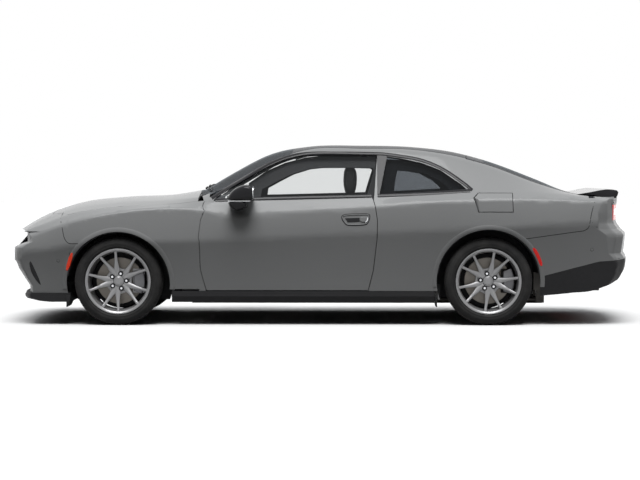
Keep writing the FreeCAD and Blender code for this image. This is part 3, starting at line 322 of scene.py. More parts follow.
def tableColumns():
    rows = []
    for axle, offset, *measures, rail, railIn, top in skinTable:
        sillUp, sillIn, wideDown, wideIn, shoulderDown, shoulderIn, beltDown, beltIn = measures
        x = (frontAxle if axle == "front" else rearAxle) + offset / 1000
        drops = [(sillIn, sillHeight + sillUp / 1000), (wideIn, beltHeight - wideDown / 1000),
                 (shoulderIn, beltHeight - shoulderDown / 1000), (beltIn, beltHeight - beltDown / 1000),
                 (railIn, beltHeight + rail * roofRise)]
        corners = [c for inset, z in drops for c in (halfWidth - inset / 1000, z)]
        rows.append([x] + corners + [0.0, beltHeight + top * roofRise])
    return np.array(rows)


skinRows = tableColumns()
rowX = skinRows[:, 0]


def cornersAt(x, smooth):
    # The section's corners at each x, as (count, 6, 2): y and z of sill, widest, shoulder, belt, rail, top.
    x = np.clip(x, rowX[0], rowX[-1] - 1e-9)
    spot = np.clip(np.searchsorted(rowX, x, side="right") - 1, 0, len(rowX) - 2)
    x0, x1 = rowX[spot], rowX[spot + 1]
    share = ((x - x0) / (x1 - x0))[:, None]
    low, high = skinRows[spot, 1:], skinRows[spot + 1, 1:]
    if not smooth:
        return (low + share * (high - low)).reshape(-1, 6, 2)
    step = np.diff(rowX)[:, None]
    secant = np.diff(skinRows[:, 1:], axis=0) / step
    between = (step[1:] * secant[:-1] + step[:-1] * secant[1:]) / (step[1:] + step[:-1])
    slope = np.vstack([secant[:1], between, secant[-1:]])
    before, after = slope.copy(), slope.copy()
    before[cowlRow, 9:] = secant[cowlRow - 1, 9:] * 0.9
    after[cowlRow, 9:] = secant[cowlRow, 9:]
    reach = (x1 - x0)[:, None]
    m0, m1 = after[spot] * reach, before[spot + 1] * reach
    s2, s3 = share ** 2, share ** 3
    ends = (2 * s3 - 3 * s2 + 1) * low + (3 * s2 - 2 * s3) * high
    return (ends + (s3 - 2 * s2 + share) * m0 + (s3 - s2) * m1).reshape(-1, 6, 2)


def arcHeight(y, railY, railZ, topZ):
    rise = np.where(np.abs(topZ - railZ) < 1e-5, 1e-5, topZ - railZ)
    radius = (railY ** 2 + rise ** 2) / (2 * rise)
    root = np.sqrt(np.maximum(radius ** 2 - y ** 2, 0)) * np.sign(radius)
    return railZ + root - (radius - rise)


def unit(v):
    return v / np.maximum(np.linalg.norm(v, axis=-1, keepdims=True), 1e-9)


def softened(point, corner, before, after, along, reach):
    # Moves a point near a corner onto a round that is reach long each way. along is negative before the corner.
    near = np.abs(along) < reach
    turn = np.clip((along + reach) / (2 * reach), 0, 1)[:, None]
    a, b = corner - before * reach[:, None], corner + after * reach[:, None]
    curve = (1 - turn) ** 2 * a + 2 * turn * (1 - turn) * corner + turn ** 2 * b
    straight = corner + along[:, None] * np.where((along < 0)[:, None], before, after)
    return point + np.where(near[:, None], curve - straight, 0.0)


def skinAt(x, piece, share, smooth=True):
    # The skin's (y, z) at each x. piece is 0 to 3 for the side's faces and 4 for the roof, share runs along it.
    corners = cornersAt(x, smooth)
    count = np.arange(len(x))
    side = np.minimum(piece, 3)
    a, b = corners[count, side], corners[count, side + 1]
    railY, railZ, topZ = corners[:, 4, 0], corners[:, 4, 1], corners[:, 5, 1]
    y = railY * (1 - share)
    onRoof = (piece == 4)[:, None]
    roof = np.stack([y, arcHeight(y, railY, railZ, topZ)], 1)
    point = np.where(onRoof, roof, a + (b - a) * share[:, None])
    if not smooth:
        return point
    way = unit(b - a)
    tip = railY * 0.98
    roofWay = unit(np.stack([tip - railY, arcHeight(tip, railY, railZ, topZ) - railZ], 1))
    ways = [unit(corners[:, k + 1] - corners[:, k]) for k in range(4)] + [roofWay]
    ways = np.stack([ways[0]] + ways, 1)
    lengths = np.linalg.norm(np.diff(corners, axis=1), axis=2)
    for corner in range(1, 5):
        room = np.minimum(lengths[:, corner - 1], lengths[:, corner])
        reach = np.minimum(cornerSoftness[corner], 0.4 * room)
        fromLeft, fromRight = piece == corner - 1, piece == corner
        along = np.where(fromLeft, -(1 - share) * lengths[:, corner - 1],
                         np.where(fromRight, share * (railY if corner == 4 else lengths[:, corner]), 9.0))
        point = softened(point, corners[:, corner], ways[:, corner], ways[:, corner + 1], along, reach)
    inward = np.stack([-way[:, 1], way[:, 0]], 1)
    hollow = np.select([piece == 0, piece == 1], [0.006, -0.004], 0.0) * 4 * share * (1 - share)
    return point + inward * hollow[:, None]


def locate(x, y, z):
    # Which face of the plain skin each place is nearest, how far along it, and how deep it is.
    corners = cornersAt(x, False)
    best = np.full(len(x), 9.0)
    piece = np.zeros(len(x), int)
    share = np.zeros(len(x))
    place = np.stack([y, z], 1)
    for k in range(4):
        a, b = corners[:, k], corners[:, k + 1]
        t = np.clip(((place - a) * (b - a)).sum(1) / np.maximum(((b - a) ** 2).sum(1), 1e-12), 0, 1)
        gap = np.linalg.norm(place - a - (b - a) * t[:, None], axis=1)
        closer = gap < best
        best, piece = np.where(closer, gap, best), np.where(closer, k, piece)
        share = np.where(closer, t, share)
    railY = corners[:, 4, 0]
    t = np.clip(1 - y / railY, 0, 1)
    gap = np.abs(arcHeight(np.minimum(y, railY), railY, corners[:, 4, 1], corners[:, 5, 1]) - z)
    gap = np.where(y > railY, 9.0, gap * 0.97)
    closer = gap < best
    return np.where(closer, 4, piece), np.where(closer, t, share), np.where(closer, gap, best)


# What lies within skinDepth of the plain skin is the skin itself. What lies deeper moves less and less.
skinDepth, fadeFrom, fadeTo = 0.0032, 0.04, 0.13
# The middle of each end stays flat, and its corners are formed over endBlend beyond that.
endFlat, endBlend = 0.08, 0.50
# The two ends of the body: how far behind the tip the plain face lies, by half width and by height,
# and the same for the finished face, whose steps add to its plan.
bodyEnds = {
    "nose": {
        "tip": -2.624, "inner": -2.28,
        "plan": ([0, 0.40, 0.76, 0.90, 1.04], [0.024, 0.024, 0.095, 0.224, 0.47]),
        "steps": ([0.18, 0.278, 0.415, 0.484, 0.56, 0.622, 0.783], [0.26, 0.144, 0.05, 0.016, 0, 0, 0.059]),
        "finePlan": ([0, 0.40, 0.77, 0.88, 0.93, 1.04], [0, 0.015, 0.060, 0.10, 0.14, 0.46]),
        "fineSteps": ([0.300, 0.322, 0.342, 0.367, 0.417, 0.467, 0.518, 0.54, 0.640, 0.643, 0.669, 0.690, 0.772,
                       0.778],
                      [0.131, 0.128, 0.115, 0.098, 0.066, 0.034, 0.015, 0, 0, 0.003, 0.047, 0.107, 0.107,
                       0.052])},
    "tail": {
        "tip": 2.624, "inner": 2.29,
        "plan": ([0, 0.40, 0.78, 0.90, 1.04], [0.024, 0.024, 0.095, 0.204, 0.47]),
        "steps": ([0.18, 0.266, 0.313, 0.415, 0.518, 0.603, 0.736, 0.775, 0.860, 0.95, 1.031],
                  [0.32, 0.209, 0.098, 0.021, 0, 0.03, 0.004, 0.038, 0.103, 0.103, 0.073]),
        "finePlan": ([0, 0.40, 0.78, 0.90, 1.04], [0, 0.018, 0.082, 0.16, 0.47]),
        "fineSteps": ([0.292, 0.317, 0.342, 0.392, 0.442, 0.518, 0.543, 0.568, 0.593, 0.694, 0.744, 0.769,
                       0.794, 0.845],
                      [0.151, 0.126, 0.084, 0.042, 0.016, 0, 0, 0.01, 0.033, 0.016, 0.008, 0.025, 0.059,
                       0.092])}}
endOf = {"front_fascia": "nose", "front_grille": "nose", "front_lamp": "nose", "rear_fascia": "tail",
         "rear_diffuser": "tail", "tail_lamp": "tail", "hatch_frame": "tail"}
# How far the diffuser's bottom rises, by x, and the heights between which the rise fades out.
diffuserFoot = ([1.827, 2.386, 2.52, 2.62], [0.0, 0.053, 0.10, 0.14])
footLow, footHigh = 0.25, 0.52


def endShift(x, y, z, fineZ, end):
    # How far places at an end of the body move along X to form its finished corners.
    way, wide = math.copysign(1, end["tip"]), np.abs(y)
    plain = np.maximum(np.interp(wide, *end["plan"]), np.interp(z, *end["steps"]))
    fine = np.interp(wide, *end["finePlan"]) + np.interp(fineZ, *end["fineSteps"])
    reach = abs(end["tip"] - end["inner"])
    depth = (end["tip"] - x) * way
    fade = np.clip((reach - depth) / np.maximum(reach - plain, 0.02), 0, 1)
    return -way * (fine - plain) * fade * np.clip((wide - endFlat) / endBlend, 0, 1)


def reshape(places, end=None, foot=None):
    # Moves points from the plain skin to the finished one, and returns them with the skin's normals.
    x, y, z = places.T
    lift = 0.0
    side = np.where(y < 0, -1.0, 1.0)
    piece, share, depth = locate(x, np.abs(y), z)
    plain = skinAt(x, piece, share, smooth=False)
    fine = skinAt(x, piece, share)
    if foot:
        lift = np.interp(x, *foot) * np.clip((footHigh - z) / (footHigh - footLow), 0, 1)
    if end:
        x = x + endShift(x, y, z, z + lift, bodyEnds[end])
        fine = np.stack([skinAt(x, piece, share)[:, 0], fine[:, 1]], 1)
    hold = np.clip((fadeTo - depth) / (fadeTo - fadeFrom), 0, 1)
    atSkin = depth < skinDepth
    moved = np.stack([np.abs(y), z], 1) + (fine - plain) * hold[:, None]
    moved = np.where(atSkin[:, None], fine, moved) + np.stack([np.zeros(len(x)), np.zeros(len(x)) + lift], 1)
    out = np.stack([x, side * moved[:, 0], moved[:, 1]], 1)
    step = 0.004
    ahead, behind = skinAt(x - step, piece, share), skinAt(x + step, piece, share)
    low, high = np.clip(share - step, 0, 1), np.clip(share + step, 0, 1)
    below, above = skinAt(x, piece, low), skinAt(x, piece, high)
    alongX = np.stack([np.full(len(x), 2 * step), *(behind - ahead).T], 1)
    alongUp = np.stack([np.zeros(len(x)), *(above - below).T], 1)
    normal = unit(np.cross(alongX, alongUp))
    normal[:, 1] *= side
    flip = np.where(normal[:, 2] * 0.3 + normal[:, 1] * side < 0, -1.0, 1.0)
    return out, normal * flip[:, None], atSkin


def cutUp(nodeName, steps, heights=()):
    # A copy of a CAD node's mesh, merged and sliced into cells fine enough to bend.
    form = bmesh.new()
    form.from_mesh(nodes[nodeName].data)
    bmesh.ops.remove_doubles(form, verts=form.verts, dist=2e-5)
    low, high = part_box(nodeName)
    margin = 0.004
    cuts = [(axis, number * step) for axis, step in enumerate(steps) if step
            for number in range(math.ceil((low[axis] + margin) / step),
                                math.floor((high[axis] - margin) / step) + 1)]
    for axis, distance in cuts + [(2, height) for height in heights]:
        spot, way = Vector((0, 0, 0)), Vector((0, 0, 0))
        spot[axis], way[axis] = distance, 1.0
        bmesh.ops.bisect_plane(form, geom=form.verts[:] + form.edges[:] + form.faces[:], dist=1e-6,
                               plane_co=spot, plane_no=way)
    return form


def readAll(items, key, width=3, kind=float):
    # One value or vector of each item of a mesh, in rows of three.
    values = np.zeros(len(items) * width, kind)
    items.foreach_get(key, values)
    return values.reshape(-1, 3)


cabinLined = ("roof_panel", "hatch_frame", "door_left", "door_right", "body_side_left", "body_side_right")
darkLined = ("hood", "front_fascia", "rear_fascia", "front_fender_left", "front_fender_right")
liningOf = {**dict.fromkeys(cabinLined, "cabin_plastic"), **dict.fromkeys(darkLined, "black_trim")}
archCentres = ((frontAxle, 0.345), (rearAxle, 0.366))
archSizes = {"lined": 0.47, "lipRadius": 0.449, "lipWidth": 0.036, "lipHeight": 0.0038, "wallRadius": 0.424,
             "armHalf": 0.16, "armTop": 0.40, "walls": (0.476, 0.482)}


def lining(mesh, faces, flat, normal, inside):
    # Wheel arches and the faces that look into the body get their own finishes.
    mesh.materials.append(finishes[inside])
    mesh.materials.append(finishes["black_trim"])
    middle = readAll(mesh.vertices, "co")[faces].mean(1)
    inward = (normal[faces].mean(1) * flat).sum(1) < -0.5
    choice = np.where(inward, 1, 0)
    for axle, height in archCentres:
        spoke = np.stack([middle[:, 0] - axle, np.zeros(len(middle)), middle[:, 2] - height], 1)
        radius = np.linalg.norm(spoke, axis=1)
        arch = (radius < archSizes["lined"]) & ((unit(spoke) * flat).sum(1) < -0.6)
        choice = np.where(arch, 2, choice)
    mesh.polygons.foreach_set("material_index", choice.astype(np.int32))


def dress(nodeName, slot, steps):
    # A body panel with the finished skin's form, in place of its CAD node.
    name, end = nodeName + "_skin", endOf.get(nodeName)
    form = cutUp(nodeName, steps, bodyEnds[end]["fineSteps"][0] if end else ())
    mesh = bpy.data.meshes.new(name)
    bmesh.ops.triangulate(form, faces=form.faces[:])
    form.to_mesh(mesh)
    form.free()
    foot = diffuserFoot if nodeName == "rear_diffuser" else None
    moved, normal, atSkin = reshape(readAll(mesh.vertices, "co"), end, foot)
    mesh.vertices.foreach_set("co", moved.ravel())
    mesh.update()
    mesh.shade_smooth()
    mesh.set_sharp_from_angle(angle=math.radians(32))
    faces = readAll(mesh.loops, "vertex_index", 1, int)
    flat = readAll(mesh.polygons, "normal")
    outer = atSkin[faces].all(1) & ((normal[faces].mean(1) * flat).sum(1) > 0.6)
    own = readAll(mesh.corner_normals, "vector")
    own[np.repeat(outer, 3)] = normal[faces[outer].ravel()]
    mesh.normals_split_custom_set(own)
    item = bpy.data.objects.new(name, mesh)
    scene.collection.objects.link(item)
    wear(item, slot)
    if nodeName in liningOf:
        lining(mesh, faces, flat, normal, liningOf[nodeName])
    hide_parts(nodeName)
    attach(item, bodyOf[nodeName])


panelSteps = {
    "hood": (0.05, 0.06, 0), "roof_panel": (0.06, 0.06, 0), "hatch_frame": (0.05, 0.06, 0.05),
    "windshield": (0.06, 0.06, 0), "hatch_glass": (0.06, 0.06, 0), "front_fascia": (0.04, 0.05, 0.04),
    "rear_fascia": (0.04, 0.05, 0.04), "door_left": (0.05, 0, 0.04), "door_right": (0.05, 0, 0.04),
    "door_glass_left": (0.05, 0, 0.04), "door_glass_right": (0.05, 0, 0.04), "quarter_glass": (0.05, 0, 0.04),
    "front_grille": (0, 0.05, 0.04), "front_lamp": (0, 0.05, 0), "tail_lamp": (0, 0.05, 0.04),
    "body_side_left": (0.05, 0.08, 0.04), "body_side_right": (0.05, 0.08, 0.04),
    "front_fender_left": (0.04, 0, 0.04), "front_fender_right": (0.04, 0, 0.04), "fuel_flap": (0.04, 0, 0.03),
    "rear_diffuser": (0.05, 0.06, 0.04),
}
for panelName, steps in panelSteps.items():
    dress(panelName, slotOf[panelName], steps)
wear(bpy.data.objects["quarter_glass_skin"], "privacy_glass")
print("skin:", len(panelSteps), "panels")


# Making shapes.
def together(*shapes):
    points, faces = [], []
    for somePoints, someFaces in shapes:
        start = len(points)
        points += somePoints
        faces += [tuple(start + k for k in face) for face in someFaces]
    return points, faces


def movedBy(shape, matrix):
    return [tuple(matrix @ Vector(p)) for p in shape[0]], shape[1]


def hoopFaces(count, size, last=None):
    # The faces between hoops of size points each, where the last hoop meets the first again.
    faces = []
    for k in range(count):
        a, b = k * size, (k + 1) % count * size
        faces += [(a + j, a + (j + 1) % size, b + (j + 1) % size, b + j) for j in range(last or size)]
    return faces


def circle(radius, count, middle=(0.0, 0.0)):
    turns = [math.tau * k / count for k in range(count)]
    return [(middle[0] + radius * math.cos(t), middle[1] + radius * math.sin(t)) for t in turns]


def lathe(profile, segments=96):
    # A closed (radius, y) outline turned round the Y axis.
    turns = [math.tau * k / segments for k in range(segments)]
    points = [(r * math.sin(turn), y, r * math.cos(turn)) for turn in turns for r, y in profile]
    return points, hoopFaces(segments, len(profile))


def lofted(rings):
    # Rings of as many points each, joined in a row and closed at both ends.
    size = len(rings[0])
    points = [p for ring in rings for p in ring]
    faces = [(a + j, a + (j + 1) % size, a + size + (j + 1) % size, a + size + j)
             for a in range(0, size * (len(rings) - 1), size) for j in range(size)]
    last = size * (len(rings) - 1)
    return points, faces + [tuple(range(size)), tuple(last + j for j in reversed(range(size)))]


def brick(low, high):
    x0, y0, z0 = low
    x1, y1, z1 = high
    ring = [(x0, y0), (x1, y0), (x1, y1), (x0, y1)]
    return lofted([[(x, y, z) for x, y in ring] for z in (z0, z1)])


def slab(outline, side, depths):
    # An (x, z) outline set at each of the depths on one side of the car, and joined up.
    return lofted([[(x, side * y, z) for x, z in outline] for y in depths])


def meshOf(name, shape):
    mesh = bpy.data.meshes.new(name)
    mesh.from_pydata(shape[0], [], shape[1])
    form = bmesh.new()
    form.from_mesh(mesh)
    bmesh.ops.remove_doubles(form, verts=form.verts, dist=1e-6)
    bmesh.ops.recalc_face_normals(form, faces=form.faces)
    form.to_mesh(mesh)
    form.free()
    return mesh


def newPiece(name, shape, slot, body, smooth=35, bevel=0.0, levels=0, hides=(), finish=None):
    # A finished piece from a shape in the car's own place.
    mesh = shape if isinstance(shape, bpy.types.Mesh) else meshOf(name, shape)
    item = bpy.data.objects.new(name, mesh)
    scene.collection.objects.link(item)
    if bevel:
        edge = item.modifiers.new("bevel", "BEVEL")
        edge.width, edge.segments, edge.limit_method, edge.angle_limit = bevel, 2, "ANGLE", math.radians(35)
    if levels:
        fine = item.modifiers.new("fine", "SUBSURF")
        fine.levels = fine.render_levels = levels
    if bevel or levels:
        mesh = bpy.data.meshes.new_from_object(item.evaluated_get(bpy.context.evaluated_depsgraph_get()))
        item.modifiers.clear()
        item.data = mesh
    mesh.name = name
    mesh.shade_smooth()
    mesh.set_sharp_from_angle(angle=math.radians(smooth))
    wear(item, finish or slot)
    if hides:
        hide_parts(*hides)
    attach(item, body)
    return item


def repeatTree():
    # A tree that repeats a shape, each copy a step along and a turn round Y from the last.
    tree = bpy.data.node_groups.new("repeat", "GeometryNodeTree")
    kinds = {"Count": "Int", "Turn": "Float", "Step": "Vector", "Shape": "Object", "Finish": "Material"}
    for name, kind in kinds.items():
        tree.interface.new_socket(name, in_out="INPUT", socket_type="NodeSocket" + kind)
    tree.interface.new_socket("Geometry", in_out="OUTPUT", socket_type="NodeSocketGeometry")
    g = Maker(tree)
    given = {name: g.add("NodeGroupInput", out=name) for name in kinds}
    index = g.add("GeometryNodeInputIndex")
    shift = g.add("ShaderNodeVectorMath", {"operation": "SCALE"}, {0: given["Step"], "Scale": index})
    points = g.add("GeometryNodePoints", {}, {"Count": given["Count"], "Position": shift})
    angles = g.add("ShaderNodeCombineXYZ", {}, {"Y": given["Turn"] * index})
    spin = g.add("FunctionNodeEulerToRotation", {}, {0: angles})
    shape = g.add("GeometryNodeObjectInfo", {}, {"Object": given["Shape"]}, "Geometry")
    copies = g.add("GeometryNodeInstanceOnPoints", {},
                   {"Points": points, "Instance": shape, "Rotation": spin})
    real = g.add("GeometryNodeRealizeInstances", {}, {0: copies})
    coat = g.add("GeometryNodeSetMaterial", {}, {"Geometry": real, "Material": given["Finish"]})
    g.add("NodeGroupOutput", {}, {0: coat})
    return tree


repeater = repeatTree()


def repeated(name, shape, count, slot, turn=0.0, step=(0, 0, 0), matrix=None):
    # A plain mesh of count copies of a shape, made by the repeat tree and then put in its place.
    pattern = bpy.data.objects.new(name + "_pattern", meshOf(name + "_pattern", shape))
    carrier = bpy.data.objects.new(name + "_carrier", bpy.data.meshes.new(name + "_carrier"))
    for item in (pattern, carrier):
        scene.collection.objects.link(item)
    modifier = carrier.modifiers.new("repeat", "NODES")
    modifier.node_group = repeater
    sockets = {s.name: s.identifier for s in repeater.interface.items_tree if s.in_out == "INPUT"}
    for key, value in (("Count", count), ("Turn", turn), ("Step", step), ("Shape", pattern),
                       ("Finish", finishes[slot])):
        modifier[sockets[key]] = value
    mesh = bpy.data.meshes.new_from_object(carrier.evaluated_get(bpy.context.evaluated_depsgraph_get()))
    for item in (carrier, pattern):
        bpy.data.objects.remove(item)
    if matrix:
        mesh.transform(matrix)
    return mesh


# Places on the body's side.
def sideSpot(x, z, side):
    # The finished skin at a place on the body's side, and the way it faces there.
    x, z = np.atleast_1d(x).astype(float), np.atleast_1d(z).astype(float)

    def skinY(xs, zs):
        shares = np.linspace(0, 1, 25)
        along = np.concatenate([shares] * 4 + [shares * 0.4])
        piece = np.repeat(np.arange(5), len(shares))
        spread = skinAt(np.repeat(xs, len(piece)), np.tile(piece, len(xs)), np.tile(along, len(xs)))
        rows = spread.reshape(len(xs), len(piece), 2)
        return np.array([np.interp(height, row[:, 1], row[:, 0]) for height, row in zip(zs, rows)])

    y = skinY(x, z)
    step = 0.01
    slopeX = (skinY(x + step, z) - skinY(x - step, z)) / (2 * step)
    slopeZ = (skinY(x, z + step) - skinY(x, z - step)) / (2 * step)
    normal = unit(np.stack([-slopeX, np.ones(len(x)), -slopeZ], 1))
    point = np.stack([x, y, z], 1)
    return point * (1, side, 1), normal * (1, side, 1)


def rounded(path):
    # Points along a smooth line through the given ones.
    path = np.array(path, float)
    padded = np.vstack([2 * path[0] - path[1], path, 2 * path[-1] - path[-2]])
    out, spacing = [], 0.03
    for k in range(1, len(padded) - 2):
        p0, p1, p2, p3 = padded[k - 1:k + 3]
        steps = max(2, int(np.linalg.norm(p2 - p1) / spacing))
        for share in np.arange(steps) / steps:
            out.append(0.5 * (2 * p1 + (p2 - p0) * share + (2 * p0 - 5 * p1 + 4 * p2 - p3) * share ** 2
                              + (3 * p1 - p0 - 3 * p2 + p3) * share ** 3))
    return np.array(out + [path[-1]])


def skinStrip(name, path, width, height, slot, body, side, sunk=0.006, smoothPath=True):
    # A moulding that lies on the body's side along an (x, z) path.
    line = rounded(path) if smoothPath else np.array(path, float)
    way = unit(np.gradient(line, axis=0))
    across = np.stack([-way[:, 1], way[:, 0]], 1)
    profile = [(-0.5, -sunk), (-0.5, height * 0.55), (-0.32, height), (0.32, height), (0.5, height * 0.55),
               (0.5, -sunk)]
    columns = [onSkin(line + across * share * width, lift, side) for share, lift in profile]
    newPiece(name, lofted([list(ring) for ring in zip(*columns)]), slot, body, 50)


def onSkin(outline, lift, side):
    point, normal = sideSpot(outline[:, 0], outline[:, 1], side)
    return [tuple(p) for p in point + normal * lift]


sides = ((-1, "left"), (1, "right"))
windowTop = [(-0.905, 1.052), (-0.775, 1.137), (-0.603, 1.240), (-0.432, 1.336), (-0.262, 1.401),
             (-0.09, 1.427), (0.17, 1.429), (0.47, 1.424), (0.56, 1.418), (0.672, 1.403), (0.842, 1.371),
             (1.015, 1.301), (1.187, 1.184), (1.262, 1.120)]
doorBelt = [(-0.872, 1.036), (-0.6, 1.046), (-0.2, 1.056), (0.2, 1.066), (0.425, 1.073)]
quarterBelt = [(0.475, 1.074), (0.75, 1.086), (1.0, 1.100), (1.245, 1.116)]


def windowTrims():
    for side, hand in sides:
        for name, path, body in (("window", windowTop, "root"), ("quarter_belt", quarterBelt, "root"),
                                 ("door_belt", doorBelt, f"door_{hand}")):
            skinStrip(f"{name}_trim_{hand}", path, 0.026, 0.005, "gloss_black", body, side)


windowTrims()
print("trims")

# Wheels and tyres.
wheelSizes = {"spokePairs": 5, "pairHalfAngle": 20.5, "rootAngle": 27.0,
              "spokeReach": (0.046, 0.070, 0.095, 0.120, 0.160, 0.2475),
              "spokeWidths": (0.046, 0.048, 0.048, 0.040, 0.029, 0.018), "ridgeAtHub": 0.064,
              "ridgeAtRim": 0.116, "spokeDepth": 0.024, "lugCircle": 0.064, "lugRadius": 0.0115,
              "treadPitches": 66, "treadFoot": 0.3560, "treadTop": 0.3638}
halfTrack, tyreRadius = 0.8325, 0.364
wheelTurns = {"front_left": 15.5, "front_right": 33.0, "rear_left": -9.5, "rear_right": 12.0}


def wheelMatrix(place):
    axle = frontAxle if place.startswith("front") else rearAxle
    side = -1 if place.endswith("left") else 1
    spin = Matrix.Rotation(math.radians(wheelTurns[place]), 4, "Y")
    matrix = Matrix.Translation((axle, side * halfTrack, tyreRadius)) @ spin
    return matrix @ Matrix.Rotation(math.pi, 4, "Z") if side < 0 else matrix


def spokeLeg(hand):
    # One leg of a V: a ridged bar that rises from the hub to the rim.
    w = wheelSizes
    rings = []
    start, end = w["spokeReach"][0], w["spokeReach"][-1]
    for share in np.linspace(0, 1, 13):
        radius = start + share * (end - start)
        bend = 1 - (1 - share) ** 1.6
        angle = math.radians(w["rootAngle"] + bend * (w["pairHalfAngle"] - w["rootAngle"])) * hand
        half = 0.5 * np.interp(radius, w["spokeReach"], w["spokeWidths"])
        half *= 1.0 + 0.35 * max(0, share - 0.86) / 0.14
        ridge = w["ridgeAtHub"] + (w["ridgeAtRim"] - w["ridgeAtHub"]) * share ** 1.5
        middle = Vector((math.sin(angle) * radius, 0, math.cos(angle) * radius))
        across = Vector((math.cos(angle), 0, -math.sin(angle)))
        shoulder = 0.010 - 0.004 * share
        profile = [(-1, -w["spokeDepth"]), (-1, -shoulder), (-0.82, -shoulder + 0.003), (-0.12 * hand, 0),
                   (0.82, -shoulder + 0.003), (1, -shoulder), (1, -w["spokeDepth"])]
        rings.append([tuple(middle + across * (a * half) + Vector((0, ridge + lift, 0)))
                      for a, lift in profile])
    return lofted(rings)


def spokePattern():
    # One fifth of the wheel's face: a V of two legs and the web that joins them over the lug.
    web = []
    for radius, half, top in ((0.078, 0.030, 0.046), (0.094, 0.033, 0.050), (0.108, 0.030, 0.050)):
        web.append([(-half, 0.034, radius), (-half, top, radius), (0, top - 0.004, radius - 0.004),
                    (half, top, radius), (half, 0.034, radius)])
    return together(spokeLeg(-1), spokeLeg(1), lofted(web))


def lugPattern():
    levels = ((0.040, 1.3), (0.052, 1.3), (0.0535, 1.0), (0.068, 1.0), (0.072, 0.72), (0.0725, 0.3))
    middle = (0.0, wheelSizes["lugCircle"])
    return lofted([[(x, y, z) for x, z in circle(wheelSizes["lugRadius"] * grow, 12, middle)]
                   for y, grow in levels])


# A gloss black disc round each lug nut, painted shade for the deep lug holes.
lugShadeProfile = [(0.0, 0.040), (0.0205, 0.040), (0.0205, 0.0640), (0.0195, 0.0655), (0.0, 0.0655)]
rimProfile = [(0.273, 0.1285), (0.2715, 0.1305), (0.267, 0.1312), (0.262, 0.1298), (0.2585, 0.1255),
              (0.2505, 0.1215), (0.2475, 0.114), (0.2462, 0.100), (0.2445, 0.092), (0.2385, 0.078),
              (0.2365, 0.0), (0.2365, -0.08), (0.243, -0.112), (0.262, -0.1285), (0.273, -0.1295),
              (0.273, -0.1185), (0.254, -0.1175), (0.254, 0.1175), (0.273, 0.1185)]
hubProfile = [(0.0275, 0.022), (0.082, 0.022), (0.086, 0.028), (0.086, 0.040), (0.080, 0.046), (0.046, 0.050),
              (0.043, 0.063), (0.0365, 0.067), (0.0275, 0.066)]
capProfile = [(0.0, 0.052), (0.033, 0.052), (0.033, 0.066), (0.0315, 0.0685), (0.027, 0.0705), (0.015, 0.0715),
              (0.0, 0.0715)]
discProfile = [(0.0275, 0.021), (0.088, 0.021), (0.091, 0.018), (0.092, -0.016), (0.098, -0.018),
               (0.192, -0.018), (0.194, -0.020), (0.194, -0.028), (0.188, -0.029), (0.188, -0.039),
               (0.194, -0.040), (0.194, -0.048), (0.192, -0.050), (0.084, -0.050), (0.084, 0.010),
               (0.0275, 0.010)]


def tyreProfile():
    half = [(0.2543, 0.1172), (0.2733, 0.1172), (0.2738, 0.1225), (0.277, 0.1283), (0.2815, 0.1318),
            (0.2860, 0.1342), (0.2900, 0.1372), (0.2930, 0.1374), (0.2945, 0.1350), (0.2990, 0.1355),
            (0.3060, 0.1371), (0.3120, 0.1374), (0.3185, 0.1366), (0.3240, 0.1348), (0.3252, 0.1336),
            (0.3268, 0.1338), (0.3330, 0.1305), (0.3390, 0.1275), (0.3430, 0.1245), (0.3475, 0.1195),
            (0.3520, 0.1140), (0.3560, 0.1060), (0.3575, 0.0990), (0.3578, 0.0600), (0.3578, 0.0)]
    outer = half + [(r, -y) for r, y in reversed(half[:-1])]
    inner = [(0.2570, -0.1000), (0.3400, -0.1180), (0.3470, -0.0900), (0.3470, 0.0900), (0.3400, 0.1180),
             (0.2570, 0.1000)]
    return outer + inner


def treadPattern():
    # One pitch of the tread: five rows of blocks, the outer ones running down the shoulder.
    pitch = math.tau / wheelSizes["treadPitches"]
    bottom, top = wheelSizes["treadFoot"], wheelSizes["treadTop"]
    rows = [(-0.017, 0.017, 0.0, 0.06, 0), (0.024, 0.052, 0.30, 0.10, 0.004),
            (-0.052, -0.024, 0.65, 0.10, -0.004)]
    shapes = []

    def ringAt(angle, profile):
        return [(r * math.sin(angle), y, r * math.cos(angle)) for r, y in profile]

    for low, high, start, gap, slant in rows:
        rings = []
        for share in (0.0, 0.5, 1.0):
            angle = (start + share * (1 - gap)) * pitch
            drift = slant * (share - 0.5)
            rings.append(ringAt(angle, [(bottom, low + drift), (top, low + 0.001 + drift),
                                        (top, high - 0.001 + drift), (bottom, high + drift)]))
        shapes.append(lofted(rings))
    for side in (-1, 1):
        for start, end, reach in ((0.0, 0.44, 0.124), (0.5, 0.93, 0.1185)):
            profile = [(bottom, side * 0.060), (top, side * 0.061), (0.3625, side * 0.088),
                       (0.3595, side * 0.103), (0.3545, side * 0.1135), (0.3475, side * reach),
                       (0.340, side * (reach + 0.001)), (0.345, side * 0.100)]
            shapes.append(lofted([ringAt((start + s * (end - start)) * pitch, profile)
                                  for s in (0.0, 0.5, 1.0)]))
    return together(*shapes)


def bentTo(mesh, end):
    # Moves a plain piece's points along with the finished nose or tail.
    places = np.array([v.co for v in mesh.vertices])
    x, y, z = places.T
    places[:, 0] += endShift(x, y, z, z, bodyEnds[end])
    mesh.vertices.foreach_set("co", places.ravel())
    return mesh


def joinMeshes(name, meshes):
    form = bmesh.new()
    for mesh in meshes:
        form.from_mesh(mesh)
    mesh = bpy.data.meshes.new(name)
    form.to_mesh(mesh)
    form.free()
    return mesh


